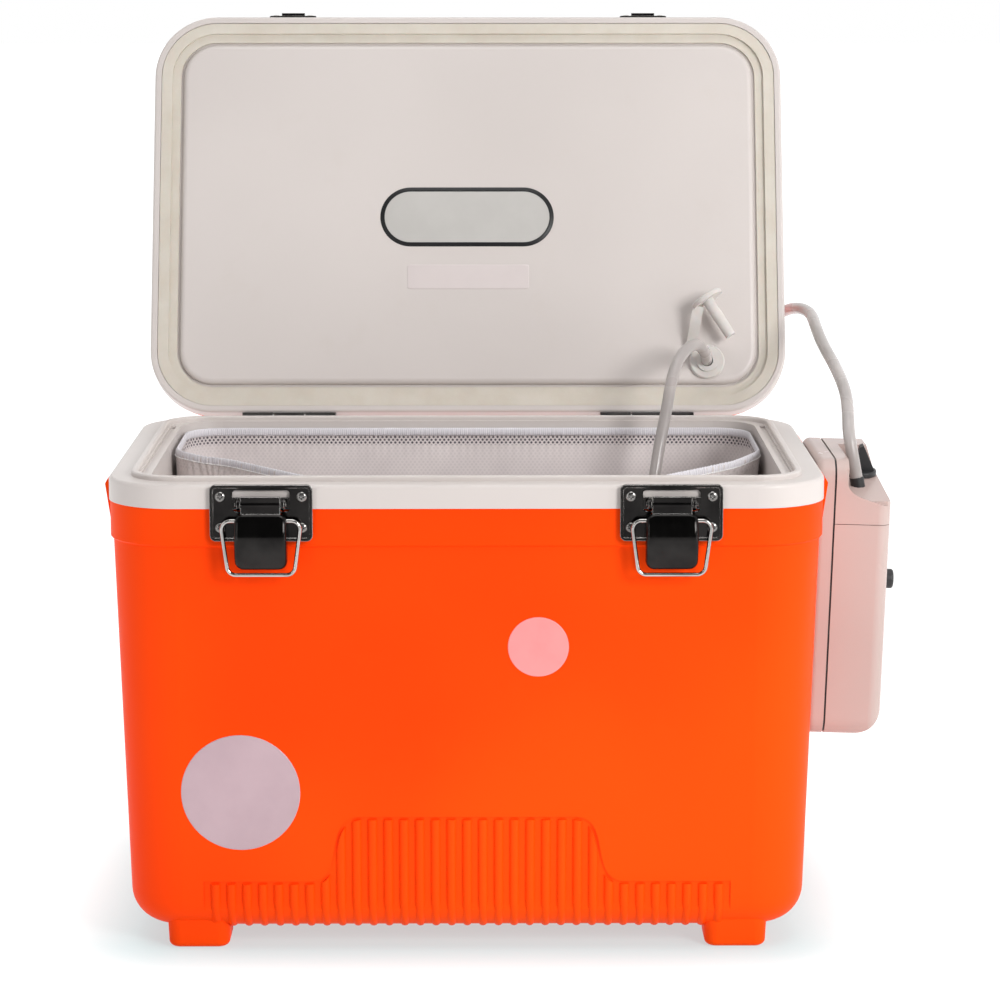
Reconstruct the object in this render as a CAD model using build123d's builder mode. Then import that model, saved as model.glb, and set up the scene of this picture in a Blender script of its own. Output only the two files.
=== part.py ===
from build123d import *
import os
from math import cos, radians, sin, tan

os.makedirs("parts", exist_ok=True)

# An insulated live-bait box with its lid standing open, a mesh net in its tub and an air pump on
# its right side. Millimetres. The origin is on the floor under the middle of the box, X runs
# along its length towards the pump, Y from the latches to the hinges, and Z up.

# ---- box ----
rim_length = 362.0
rim_depth = 235.5
rim_height = 242.6
rim_corner = 36.0
collar_height = 12.0
collar_edge_round = 2.0
liner_wall = 2.4
shell_wall = 2.6
fit_gap = 0.2
wall_draft = 1.8
wall_inset = 1.0
band_inset = 0.5
shoulder_drop = 31.5
shoulder_chamfer = 1.0
bottom_round = 18.0
foot_height = 10.0
foot_length = 31.0
foot_depth = 30.0
foot_corner = 6.0
foot_round = 3.0
foot_draft = 3.0
foot_centre_x = 137.4
foot_centre_y = 88.5

# ribbed panel in the front and rear walls
rib_count = 33
rib_pitch = 8.0
rib_radius = 2.5
rib_proud = 1.0
field_recess = 0.9
field_margin = 3.6
field_low_top = 37.0
field_high_top = 71.0
field_high_half = 56.0
field_slope = 23.0

# strap lugs on the two ends
lug_length = 23.0
lug_centre_y = 63.5
lug_proud = 3.0
lug_drop = 4.2
lug_gap = 0.3

# ---- tub and sealing ridge ----
ridge_inset = 11.3
ridge_width = 3.7
ridge_height = 2.6
ridge_round = 1.1
mouth_inset_end = 21.5
mouth_inset_side = 16.4
mouth_corner = 22.0
tub_floor = 30.0
tub_floor_round = 12.0
tray_ledge_length = 164.0
tray_ledge_width = 3.2
tray_ledge_depth = 1.4
tray_ledge_step = 0.8

# ---- net ----
net_gap = 2.0
net_thickness = 1.6
net_top_drop = 3.4
net_floor_gap = 7.0
net_gather_height = 36.0
net_front_gap = 23.0
net_front_corner = 90.0
net_rear_corner = 20.0

# ---- lid ----
lid_angle = 110.0
pin_offset = 2.5
pin_radius = 1.2
lid_depth = 234.5
lid_lift = 0.3
lid_band = 12.0
lid_band_round = 1.5
lid_band_wall = 3.0
groove_inset = 3.8
groove_depth = 4.3
panel_inset = 16.6
panel_rise = 0.4
panel_round = 3.2
crown_inset = 0.8
crown_height = 16.0
crown_draft = 4.0
crown_round = 8.0
crown_wall = 2.6
crown_pad_length = 236.0
crown_pad_depth = 118.0
crown_pad_height = 1.0
crown_pad_corner = 22.0
gasket_width = 11.0
gasket_step = 6.1
gasket_clear = 0.2

# ---- hinges ----
hinge_inset = 79.5
hinge_length = 53.0
knuckle_radius = 2.2
knuckle_gap = 0.3
leaf_thickness = 1.3
body_leaf_height = 22.0
lid_leaf_height = 11.0
pin_clearance = 0.05
hinge_screw_pitch = 38.0

# ---- latches ----
latch_inset = 79.2
plate_width = 51.0
plate_height = 28.3
plate_top_over = 0.4
plate_thickness = 1.6
plate_corner = 3.0
plate_rim = 0.8
window_width = 28.4
window_height = 10.6
window_drop = 2.8
pivot_drop = 9.0
pivot_out = 5.0
pivot_radius = 1.5
pin_fit = 0.02
ear_thickness = 1.7
ear_radius = 3.0
ear_foot_width = 6.1
ear_foot_shift = 2.2
neck_width = 19.6
neck_top = 4.2
lever_width = 26.0
lever_drop = 32.6
lever_shoulder = 4.2
lever_depth = 6.6
lever_skin = 1.4
lever_dome = 3.4
lever_corner = 4.5
lever_edge_round = 2.2
wire_radius = 1.05
wire_pivot_drop = 8.0
wire_pivot_out = 1.0
wire_half_top = 20.0
wire_half_low = 16.4
wire_length = 27.2
wire_bend = 4.4
wire_hold = 2.2
latch_screw_x = 20.2
latch_screw_high = 5.6
latch_screw_low = 21.2

# ---- keepers on the lid ----
keeper_width = 27.0
keeper_low = 2.2
keeper_high = 11.6
keeper_thickness = 1.2
keeper_screw_x = 9.8
keeper_lip_width = 13.4
keeper_lip_out = 4.2
keeper_lip_low = 6.4
keeper_lip_high = 10.6

# ---- screws ----
screw_radius = 1.4
screw_length = 8.0
screw_head_radius = 2.6
screw_head_height = 1.3
screw_head_chamfer = 0.45

# ---- lid port and its plug ----
port_inset = 45.0
port_s = 31.5
port_sleeve_radius = 6.0
port_flange_radius = 10.0
port_flange = 2.2
port_ring = 1.4
plug_flange_radius = 9.3
plug_flange = 3.0
plug_stem_radius = 3.4
plug_stem_length = 24.0
plug_height = 11.0
strap_width = 6.0
strap_thickness = 1.6
strap_reach = 13.0
strap_turn = 43.0
plug_turn = 31.5
plug_off_x = -0.4
plug_off_s = 33.0
plug_chamfer = 0.8

# ---- pump ----
pump_drop = 145.8
pump_height = 146.4
pump_depth = 92.0
pump_gap = 0.9
rear_thickness = 9.2
seal_thickness = 1.0
seal_inset = 0.9
seal_width = 2.0
case_thickness = 39.4
case_wall = 2.2
case_corner = 11.0
case_edge_round = 7.0
rear_round = 4.0
cover_low_round = 17.0
cap_height = 33.0
cap_joint = 0.3
cap_slope_run = 7.5
cap_slope_drop = 22.0
scoop_start = 16.6
scoop_floor = 12.4
scoop_tilt = 8.0
scoop_far = 15.0
scoop_round = 1.0
notch_start = 15.4
notch_top = 8.0
notch_end = 25.0
notch_low = 19.4
notch_fall = 0.3
rail_low = 44.0
rail_high = 100.0
rail_neck = 10.0
rail_head = 18.0
rail_neck_depth = 2.8
rail_head_depth = 2.6
rail_clear = 0.35
screw_relief = 1.4
relief_high = 113.0
bracket_width = 30.0
bracket_plate = 1.5
bracket_low = 30.0
bracket_high = 114.0
boss_wall = 2.0
cell_radius = 13.0
cell_length = 50.0
cell_gap = 1.6
cell_foot = 11.0
cell_edge_round = 0.8
nub_radius = 3.5
nub_height = 1.5
contact_height = 3.0
contact_sheet = 0.4
cradle_wall = 1.4
cradle_reach_low = 27.0
cradle_reach_high = 34.0
motor_out = 22.0
motor_across = 24.0
motor_radius = 10.0
motor_length = 20.0
motor_shaft_radius = 1.1
motor_shaft_length = 8.0
crank_radius = 5.0
crank_thickness = 4.0
crank_throw = 2.0
crank_pin_radius = 1.0
yoke_width = 7.0
yoke_thickness = 2.0
rocker_stem_radius = 3.0
head_across = -18.0
head_radius = 11.0
head_port = 5.0
switch_side = 12.0
switch_depth = 11.5
shaft_depth = 8.0
board_out = 16.0
board_across = 26.0
board_thickness = 1.6
knob_x = 27.6
knob_y = 3.0
knob_disc_radius = 8.8
knob_disc = 2.6
knob_fin_height = 13.5
knob_fin_thickness = 5.0
knob_gap = 0.3
knob_shaft_radius = 2.5
nozzle_x = 24.6
nozzle_y = -17.5
nozzle_radius = 3.7
nozzle_collar = 4.5
nozzle_tilt = 9.0
spigot_length = 5.5
spigot_bore = 1.1
button_drop = 67.0
button_across = -14.0
button_radius = 5.2
button_out = 6.6
button_travel = 1.5
button_round = 1.4
button_lip = 1.3
spring_span = 22.0
spring_width = 8.0
spring_sheet = 0.5

# ---- airline ----
airline_radius = 3.25
airline_bore = 2.0
bend_share = 0.45
stone_x = 92.0
stone_y = 40.0
stone_radius = 8.5
stone_length = 26.0

# ---- heights, places and planes that follow ----
collar_low = rim_height - collar_height
shoulder_z = rim_height - shoulder_drop
draft_slope = tan(radians(wall_draft))
front_y = -rim_depth / 2
rear_y = rim_depth / 2
end_x = rim_length / 2
ridge_inner_inset = ridge_inset + ridge_width
latch_places = {"left": latch_inset - end_x, "right": end_x - latch_inset}
hinge_places = {"left": hinge_inset - end_x, "right": end_x - hinge_inset}

lean_back = radians(lid_angle - 90)
pin_y = rear_y + pin_offset
lid_plane = Plane(
    origin=(0, pin_y, rim_height),
    x_dir=(-1, 0, 0),
    z_dir=(0, cos(lean_back), -sin(lean_back)),
)
lid_mid = pin_offset + lid_depth / 2
lid_front = pin_offset + lid_depth

lean = radians(wall_draft)
pump_out = (cos(lean), 0, -sin(lean))
pump_up = (sin(lean), 0, cos(lean))
pump_foot_z = rim_height - pump_drop
pump_back_x = end_x + pump_gap - (rim_height - pump_foot_z) * draft_slope
pump_plane = Plane(origin=(pump_back_x, 0, pump_foot_z), x_dir=pump_out, z_dir=pump_up)


def save(piece, name):
    """Label one finished piece and write it to its own file."""
    piece.label = name
    export_step(piece, f"parts/{name}.step")


def shifted(plane, x=0.0, y=0.0, z=0.0):
    """The same plane moved along its own axes."""
    return Plane(plane.location * Location((x, y, z)))


def rounded_block(plane, length, depth, corner, height, taper=0.0):
    """A block with rounded upright corners that stands on a plane."""
    with BuildPart() as block:
        with BuildSketch(plane):
            RectangleRounded(length, depth, corner)
        extrude(amount=height, taper=taper)
    return block.part


def tapered_box(length, depth, corner, low, high, low_round):
    """A drafted box whose length and depth are those at the rim, with a rounded bottom edge."""
    shrink = (rim_height - low) * draft_slope
    with BuildPart() as box:
        with BuildSketch(Plane.XY.offset(low)):
            RectangleRounded(length - 2 * shrink, depth - 2 * shrink, corner - shrink)
        extrude(amount=high - low, taper=-wall_draft)
        fillet(box.faces().sort_by(Axis.Z)[0].edges(), low_round)
    return box.part


def rod(plane, radius, length):
    """A round bar that stands on a plane."""
    with BuildPart() as bar:
        with BuildSketch(plane):
            Circle(radius)
        extrude(amount=length)
    return bar.part


def lid_block(inset, low, high, corner=None):
    """A rounded block in the lid's own frame, inset from the lid's outline."""
    return rounded_block(
        shifted(lid_plane, y=lid_mid, z=low),
        rim_length - 2 * inset,
        lid_depth - 2 * inset,
        corner or max(rim_corner - inset, 2.0),
        high - low,
    )


def wire(points, radii, radius):
    """A round wire along straight runs joined by tangent arcs."""
    with BuildPart() as bar:
        with BuildLine() as route:
            FilletPolyline(*points, radius=radii)
        with BuildSketch(Plane(origin=route.line @ 0, z_dir=route.line % 0)):
            Circle(radius)
        sweep(path=route.line)
    return bar.part


def screw(plane):
    """A pan-head screw; the plane is the face under its head, and the head stands along its normal."""
    with BuildPart() as part:
        with BuildSketch(plane):
            Circle(screw_head_radius)
        extrude(amount=screw_head_height)
        head_top = part.faces().sort_by(Axis(plane.origin, plane.z_dir))[-1]
        chamfer(head_top.edges(), screw_head_chamfer)
        with BuildSketch(plane):
            Circle(screw_radius)
        extrude(amount=-screw_length)
    return part.part


def screw_bore(plane):
    """The hole that takes the shank of such a screw."""
    return rod(shifted(plane, z=1.0), screw_radius + 0.05, -(screw_length + 1.3))


# ---- fixing places ----
plate_face = Plane(origin=(0, front_y - plate_thickness, rim_height), x_dir=(1, 0, 0), z_dir=(0, -1, 0))
latch_screw_planes = [
    shifted(plate_face, x=place + side * latch_screw_x, y=-drop)
    for place in latch_places.values()
    for side in (-1, 1)
    for drop in (latch_screw_high, latch_screw_low)
]
leaf_face = Plane(
    origin=(0, rear_y + leaf_thickness, rim_height), x_dir=(-1, 0, 0), z_dir=(0, 1, 0)
)
body_hinge_screw_planes = [
    shifted(leaf_face, x=-place + side * hinge_screw_pitch / 2, y=-collar_height * 0.6)
    for place in hinge_places.values()
    for side in (-1, 1)
]
lid_rear_face = Plane(
    origin=lid_plane.from_local_coords((0, pin_offset - leaf_thickness, 0)),
    x_dir=-lid_plane.x_dir,
    z_dir=-lid_plane.y_dir,
)
lid_hinge_screw_planes = [
    shifted(lid_rear_face, x=place + side * hinge_screw_pitch / 2, y=-lid_band * 0.6)
    for place in hinge_places.values()
    for side in (-1, 1)
]
lid_front_face = Plane(
    origin=lid_plane.from_local_coords((0, lid_front + keeper_thickness, 0)),
    x_dir=-lid_plane.x_dir,
    z_dir=lid_plane.y_dir,
)
keeper_screw_planes = [
    shifted(lid_front_face, x=place + side * keeper_screw_x, y=(keeper_low + keeper_high) / 2)
    for place in latch_places.values()
    for side in (-1, 1)
]
wall_x = pump_back_x - pump_gap - wall_inset
bracket_plane = Plane(origin=(wall_x, 0, pump_foot_z), x_dir=pump_out, z_dir=pump_up)
bracket_screw_planes = [
    Plane(
        origin=bracket_plane.from_local_coords((bracket_plate, 0, height)),
        x_dir=(0, 1, 0),
        z_dir=pump_out,
    )
    for height in (rail_low - 6.0, rail_high + 6.0)
]
port_plane = shifted(lid_plane, x=port_inset - end_x, y=port_s)
port_bore = rod(shifted(port_plane, z=-20.0), port_sleeve_radius + 0.1, 60.0)
box_screw_bores = [
    screw_bore(plane)
    for plane in latch_screw_planes + body_hinge_screw_planes + bracket_screw_planes
]
lid_screw_bores = [screw_bore(plane) for plane in lid_hinge_screw_planes + keeper_screw_planes]


# ---- outer shell ----
def field_outline(inset):
    """The outline of the ribbed panel on a wall plane, higher in the middle, with eased shoulders."""
    half = rib_pitch * (rib_count - 1) / 2 + rib_radius + field_margin - inset
    low_top = field_low_top - inset
    high_top = field_high_top - inset
    high_half = field_high_half - inset
    low_half = high_half + field_slope
    with BuildSketch(Plane.XY) as outline:
        with BuildLine():
            Polyline(
                (-low_half, low_top),
                (-half, low_top),
                (-half, 0),
                (half, 0),
                (half, low_top),
                (low_half, low_top),
            )
            Spline((low_half, low_top), (high_half, high_top), tangents=((-1, 0.1), (-1, 0.1)))
            Line((high_half, high_top), (-high_half, high_top))
            Spline((-high_half, high_top), (-low_half, low_top), tangents=((-1, -0.1), (-1, -0.1)))
        make_face()
    return outline.sketch


wall_corner = rim_corner - wall_inset
wall_length = rim_length - 2 * wall_inset
wall_depth = rim_depth - 2 * wall_inset
foot_bottom_y = wall_depth / 2 - rim_height * draft_slope
front_wall = Plane(origin=(0, -foot_bottom_y, 0), x_dir=(1, 0, 0), z_dir=(0, -cos(lean), -sin(lean)))
rib_sink = rib_radius - rib_proud
rib_half_depth = foot_bottom_y + foot_height * draft_slope - rib_sink / cos(lean)

with BuildPart() as rib_bar:
    with BuildLine(Plane.YZ) as rib_route:
        FilletPolyline(
            (-rib_half_depth - field_high_top * draft_slope, field_high_top + foot_height),
            (-rib_half_depth - rib_sink * draft_slope, foot_height + rib_sink),
            (-rib_half_depth + bottom_round + 4.0, foot_height + rib_sink),
            radius=bottom_round - rib_sink,
        )
    with BuildSketch(Plane(origin=rib_route.line @ 0, z_dir=rib_route.line % 0)):
        Circle(rib_radius)
    sweep(path=rib_route.line)

with BuildPart() as rib_trim:
    with BuildSketch(shifted(front_wall, z=-30.0)):
        add(field_outline(1.4))
    extrude(amount=40.0)

with BuildPart() as front_ribs:
    for number in range(rib_count):
        add(rib_bar.part.moved(Location(((number - (rib_count - 1) / 2) * rib_pitch, 0, 0))))
    add(rib_trim.part, mode=Mode.INTERSECT)

with BuildPart() as foot:
    with BuildSketch(Plane.XY):
        RectangleRounded(foot_length, foot_depth, foot_corner)
    extrude(amount=foot_height + bottom_round / 3, taper=-foot_draft)
    fillet(foot.faces().sort_by(Axis.Z)[0].edges(), foot_round)

band_block = rounded_block(
    Plane.XY.offset(shoulder_z),
    rim_length - 2 * band_inset,
    rim_depth - 2 * band_inset,
    rim_corner - band_inset,
    collar_low - shoulder_z,
)
band_block = band_block.chamfer(shoulder_chamfer, None, band_block.faces().sort_by(Axis.Z)[0].edges())
shell_cavity = tapered_box(
    wall_length - 2 * shell_wall,
    wall_depth - 2 * shell_wall,
    wall_corner - shell_wall,
    foot_height + shell_wall,
    collar_low + 1.0,
    bottom_round - shell_wall,
)


field_cut = extrude(shifted(front_wall, z=-field_recess) * field_outline(0.0), amount=field_recess + 2.0)
rear_ribs = front_ribs.part.rotate(Axis.Z, 180)
rear_field_cut = field_cut.rotate(Axis.Z, 180)

with BuildPart() as end_lugs:
    band_x = end_x - band_inset
    with BuildSketch(Plane.XZ.offset(-lug_length / 2)):
        with BuildLine():
            Polyline(
                (band_x - 1.5, shoulder_z + 1.0),
                (band_x, shoulder_z + 1.0),
                (end_x + lug_proud, rim_height - lug_drop - 2.0),
                (end_x + lug_proud - 1.0, rim_height - lug_drop),
                (end_x + lug_gap, rim_height - lug_drop),
                (end_x + lug_gap, collar_low),
                (band_x - 1.5, collar_low),
                close=True,
            )
        make_face()
    extrude(amount=lug_length)

with BuildPart() as outer_shell:
    add(tapered_box(wall_length, wall_depth, wall_corner, foot_height, collar_low, bottom_round))
    add(band_block)
    with Locations(*[(x * foot_centre_x, y * foot_centre_y) for x in (-1, 1) for y in (-1, 1)]):
        add(foot.part)
    add([field_cut, rear_field_cut], mode=Mode.SUBTRACT)
    add([front_ribs.part, rear_ribs])
    for along in (-lug_centre_y, lug_centre_y):
        add(end_lugs.part.moved(Location((0, along, 0))))
        add(end_lugs.part.rotate(Axis.Z, 180).moved(Location((0, along, 0))))
    add(shell_cavity, mode=Mode.SUBTRACT)
    add(box_screw_bores, mode=Mode.SUBTRACT)
save(outer_shell.part, "outer_shell")

# ---- tub liner, foam and net ----
cup_length = rim_length - 2 * mouth_inset_end
cup_depth = rim_depth - 2 * mouth_inset_side
cup_inside = tapered_box(
    cup_length, cup_depth, mouth_corner, tub_floor, rim_height + ridge_height, tub_floor_round
)


def cup_outside(gap):
    """The outside of the liner's cup, grown by a gap."""
    grow = liner_wall + gap
    return tapered_box(
        cup_length + 2 * grow,
        cup_depth + 2 * grow,
        mouth_corner + grow,
        tub_floor - grow,
        rim_height - liner_wall / 2,
        tub_floor_round + grow,
    )


def rim_block(inset, low, high):
    """A rounded block on the collar's outline, inset from it."""
    return rounded_block(
        Plane.XY.offset(low),
        rim_length - 2 * inset,
        rim_depth - 2 * inset,
        rim_corner - inset,
        high - low,
    )


with BuildPart() as sealing_ridge:
    add(rim_block(ridge_inset, rim_height - 1.0, rim_height + ridge_height))
    add(rim_block(ridge_inner_inset, rim_height - 1.0, rim_height + ridge_height), mode=Mode.SUBTRACT)
    fillet(sealing_ridge.faces().sort_by(Axis.Z)[-1].edges(), ridge_round)

tray_ledge_x = end_x - ridge_inner_inset - tray_ledge_step - tray_ledge_width / 2
with BuildPart() as tub_liner:
    add(rim_block(0.0, collar_low, rim_height))
    fillet(tub_liner.faces().sort_by(Axis.Z)[-1].edges(), collar_edge_round)
    add(rim_block(liner_wall, collar_low - 1.0, rim_height - liner_wall), mode=Mode.SUBTRACT)
    add(cup_outside(0.0))
    add(sealing_ridge.part)
    add(cup_inside, mode=Mode.SUBTRACT)
    with Locations(*[(side * tray_ledge_x, 0, rim_height) for side in (-1, 1)]):
        Box(tray_ledge_width, tray_ledge_length, 2 * tray_ledge_depth, mode=Mode.SUBTRACT)
    add(box_screw_bores, mode=Mode.SUBTRACT)
save(tub_liner.part, "tub_liner")

with BuildPart() as foam_insulation:
    add(
        tapered_box(
            wall_length - 2 * (shell_wall + fit_gap),
            wall_depth - 2 * (shell_wall + fit_gap),
            wall_corner - shell_wall - fit_gap,
            foot_height + shell_wall + fit_gap,
            collar_low,
            bottom_round - shell_wall - fit_gap,
        )
    )
    add(rim_block(liner_wall + shell_wall, collar_low, rim_height - liner_wall - fit_gap))
    add(cup_outside(fit_gap), mode=Mode.SUBTRACT)
    add(box_screw_bores, mode=Mode.SUBTRACT)
save(foam_insulation.part, "foam_insulation")


def net_bag(shrink, low, high):
    """The bag's outline, a little smaller than the tub it hangs in."""
    return tapered_box(
        cup_length - 2 * shrink,
        cup_depth - 2 * shrink,
        mouth_corner - shrink,
        low,
        high,
        tub_floor_round - shrink,
    )


def net_mouth(shrink, height):
    """The bag's mouth, drawn in towards the front with wide front corners."""
    half_length = cup_length / 2 - shrink - (rim_height - height) * draft_slope
    half_depth = cup_depth / 2 - shrink - (rim_height - height) * draft_slope
    front = net_front_gap - half_depth
    with BuildSketch(Plane.XY.offset(height)) as mouth:
        Polygon(
            (-half_length, front),
            (half_length, front),
            (half_length, half_depth),
            (-half_length, half_depth),
            align=None,
        )
        fillet(mouth.vertices().group_by(Axis.Y)[0], net_front_corner - shrink)
        fillet(mouth.vertices().group_by(Axis.Y)[-1], net_rear_corner - shrink)
    return mouth.sketch


def gathered_bag(shrink, low, over):
    """The bag with its upper part drawn in to the mouth."""
    with BuildPart() as bag:
        add(net_bag(shrink, low, net_high - net_gather_height))
        loft([bag.faces().sort_by(Axis.Z)[-1], net_mouth(shrink, net_high).face()], ruled=True)
        extrude(bag.faces().sort_by(Axis.Z)[-1], amount=over)
    return bag.part


net_low = tub_floor + net_floor_gap
net_high = rim_height - net_top_drop
with BuildPart() as net_liner:
    add(gathered_bag(net_gap, net_low, 0.5))
    add(gathered_bag(net_gap + net_thickness, net_low + net_thickness, 1.5), mode=Mode.SUBTRACT)
save(net_liner.part, "net_liner")

# ---- lid ----
lid_axis = Axis(lid_plane.origin, lid_plane.z_dir)


def rounded_at(block, end, radius):
    """The block with the edges of its lowest (0) or highest (-1) face along the lid's axis rounded."""
    return block.fillet(radius, block.faces().sort_by(lid_axis)[end].edges())


with BuildPart() as lid_inner_tray:
    add(rounded_at(lid_block(0.0, lid_lift, lid_band), 0, lid_band_round))
    add(lid_block(groove_inset, lid_lift - 1.0, groove_depth), mode=Mode.SUBTRACT)
    add(rounded_at(lid_block(panel_inset, panel_rise, groove_depth + 0.5), 0, panel_round))
    add(lid_block(lid_band_wall, groove_depth + liner_wall, lid_band + 1.0), mode=Mode.SUBTRACT)
    add(
        lid_block(panel_inset + liner_wall, panel_rise + liner_wall, lid_band + 1.0),
        mode=Mode.SUBTRACT,
    )
    add(port_bore, mode=Mode.SUBTRACT)
    add(lid_screw_bores, mode=Mode.SUBTRACT)
save(lid_inner_tray.part, "lid_inner_tray")


def crown_block(inset, low, high, round_edge):
    """The lid's crown, drafted towards its top and rounded along the top edge."""
    block = rounded_block(
        shifted(lid_plane, y=lid_mid, z=low),
        rim_length - 2 * inset,
        lid_depth - 2 * inset,
        rim_corner - inset,
        high - low,
        taper=crown_draft,
    )
    return rounded_at(block, -1, round_edge)


crown_top = lid_band + crown_height
crown_pad = rounded_block(
    shifted(lid_plane, y=lid_mid, z=crown_top - 1.0),
    crown_pad_length,
    crown_pad_depth,
    crown_pad_corner,
    crown_pad_height + 1.0,
)
with BuildPart() as lid_outer_shell:
    add(crown_block(crown_inset, lid_band, crown_top, crown_round))
    add(rounded_at(crown_pad, -1, crown_pad_height * 0.8))
    add(
        crown_block(
            crown_inset + crown_wall, lid_band - 1.0, crown_top - crown_wall, crown_round - crown_wall
        ),
        mode=Mode.SUBTRACT,
    )
    add(port_bore, mode=Mode.SUBTRACT)
save(lid_outer_shell.part, "lid_outer_shell")

with BuildPart() as lid_foam:
    add(
        crown_block(
            crown_inset + crown_wall + fit_gap,
            lid_band - 1.0,
            crown_top - crown_wall - fit_gap,
            crown_round - crown_wall - fit_gap,
        )
    )
    add(lid_block(lid_band_wall + 2.0, groove_depth + liner_wall + fit_gap, lid_band + 0.5))
    add(
        lid_block(
            panel_inset + liner_wall + fit_gap,
            panel_rise + liner_wall + fit_gap,
            lid_band + 0.5,
        )
    )
    add(port_bore, mode=Mode.SUBTRACT)
    add(lid_screw_bores, mode=Mode.SUBTRACT)
save(lid_foam.part, "lid_foam")

gasket_inset = groove_inset + fit_gap
gasket_face = ridge_height + gasket_clear
with BuildPart() as lid_gasket:
    add(lid_block(gasket_inset, lid_lift + 0.6, groove_depth))
    add(
        lid_block(gasket_inset + gasket_step, lid_lift - 1.0, gasket_face),
        mode=Mode.SUBTRACT,
    )
    add(
        lid_block(gasket_inset + gasket_width, lid_lift - 1.0, groove_depth + 1.0),
        mode=Mode.SUBTRACT,
    )
save(lid_gasket.part, "lid_gasket")


# ---- hinges ----
def knuckle(centre_x, length):
    """One rolled knuckle round the hinge axis."""
    return rod(
        Plane(origin=(centre_x - length / 2, pin_y, rim_height), x_dir=(0, 1, 0), z_dir=(1, 0, 0)),
        knuckle_radius,
        length,
    )


def leaf_plate(face_plane, centre, width, low, height):
    """A flat part of a leaf that lies on the face behind it."""
    with BuildPart() as plate:
        with BuildSketch(shifted(face_plane, x=centre, y=-low - height / 2)):
            Rectangle(width, height)
        extrude(amount=-leaf_thickness)
    return plate.part


leaf_start = knuckle_radius + 0.5
outer_knuckle = hinge_length / 3 - knuckle_gap
middle_knuckle = hinge_length / 3 - knuckle_gap
for side, place in hinge_places.items():
    pin_bore = rod(
        Plane(origin=(place - hinge_length, pin_y, rim_height), x_dir=(0, 1, 0), z_dir=(1, 0, 0)),
        pin_radius + pin_clearance,
        2 * hinge_length,
    )
    outer_places = [place + way * (hinge_length - outer_knuckle) / 2 for way in (-1, 1)]
    with BuildPart() as body_leaf:
        add(leaf_plate(leaf_face, -place, hinge_length, leaf_start, body_leaf_height))
        for centre in outer_places:
            add(leaf_plate(leaf_face, -centre, outer_knuckle, 0.0, leaf_start + 1.0))
            add(knuckle(centre, outer_knuckle))
        add(pin_bore, mode=Mode.SUBTRACT)
        add([screw_bore(plane) for plane in body_hinge_screw_planes], mode=Mode.SUBTRACT)
    save(body_leaf.part, f"{side}_hinge_body_leaf")

    with BuildPart() as lid_leaf:
        add(leaf_plate(lid_rear_face, place, hinge_length, leaf_start, lid_leaf_height - leaf_start))
        add(leaf_plate(lid_rear_face, place, middle_knuckle, 0.0, leaf_start + 1.0))
        add(knuckle(place, middle_knuckle))
        add(pin_bore, mode=Mode.SUBTRACT)
        add([screw_bore(plane) for plane in lid_hinge_screw_planes], mode=Mode.SUBTRACT)
    save(lid_leaf.part, f"{side}_hinge_lid_leaf")

    pin = rod(
        Plane(origin=(place - hinge_length / 2, pin_y, rim_height), x_dir=(0, 1, 0), z_dir=(1, 0, 0)),
        pin_radius,
        hinge_length,
    )
    save(pin, f"{side}_hinge_pin")


def screw_set(planes, name):
    """One node of identical screws."""
    with BuildPart() as screws:
        add([screw(plane) for plane in planes])
    save(screws.part, name)


screw_set(body_hinge_screw_planes, "hinge_body_screws")
screw_set(lid_hinge_screw_planes, "hinge_lid_screws")
screw_set(latch_screw_planes, "latch_screws")
screw_set(keeper_screw_planes, "keeper_screws")
screw_set(bracket_screw_planes, "bracket_screws")

# ---- latches ----
pivot_y = front_y - pivot_out
pivot_z = rim_height - pivot_drop
wire_y = pivot_y - wire_pivot_out
wire_z = pivot_z - wire_pivot_drop


def cross_rod(centre_x, y, z, radius, length):
    """A round bar along X."""
    return rod(
        Plane(origin=(centre_x - length / 2, y, z), x_dir=(0, 1, 0), z_dir=(1, 0, 0)), radius, length
    )


with BuildPart() as latch_plate:
    with BuildSketch(shifted(plate_face, y=plate_top_over - plate_height / 2, z=-plate_thickness)):
        RectangleRounded(plate_width, plate_height, plate_corner)
    extrude(amount=plate_thickness)
    with BuildSketch(shifted(plate_face, y=plate_top_over - plate_height / 2)):
        RectangleRounded(plate_width, plate_height, plate_corner)
        offset(amount=-1.6, mode=Mode.SUBTRACT)
    extrude(amount=plate_rim)
    window_y = plate_top_over - window_drop - window_height / 2
    with BuildSketch(shifted(plate_face, y=window_y)):
        RectangleRounded(window_width, window_height, 1.6)
    extrude(amount=-plate_thickness, mode=Mode.SUBTRACT)
    for way in (-1, 1):
        ear_x = way * (neck_width / 2 + 0.3 + ear_thickness / 2)
        with BuildSketch(Plane.YZ.offset(ear_x - ear_thickness / 2)):
            with Locations((pivot_y, pivot_z)):
                Circle(ear_radius)
            with Locations(((pivot_y + front_y - 0.1) / 2, pivot_z - ear_radius / 4)):
                Rectangle(pivot_out - 0.1, ear_radius * 1.5)
        extrude(amount=ear_thickness)
        foot_x = ear_x + way * ear_foot_shift
        with BuildSketch(shifted(plate_face, x=foot_x, y=-pivot_drop, z=-plate_thickness)):
            Rectangle(ear_foot_width, ear_radius * 2)
        extrude(amount=plate_thickness - 0.1)
    add(cross_rod(0.0, pivot_y, pivot_z, pivot_radius + pin_fit, plate_width), mode=Mode.SUBTRACT)
    for way in (-1, 1):
        for drop in (latch_screw_high, latch_screw_low):
            hole = screw_bore(shifted(plate_face, x=way * latch_screw_x, y=-drop))
            add(hole, mode=Mode.SUBTRACT)

latch_pin_length = neck_width + 2 * (ear_thickness + 0.3) + 2.0
latch_pin = cross_rod(0.0, pivot_y, pivot_z, pivot_radius, latch_pin_length)

# the lever hangs from its knuckle; its pad is domed outwards and open at the back
lever_back = pivot_y + 2.2
lever_top = pivot_z - lever_shoulder
lever_low = pivot_z - lever_drop


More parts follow.
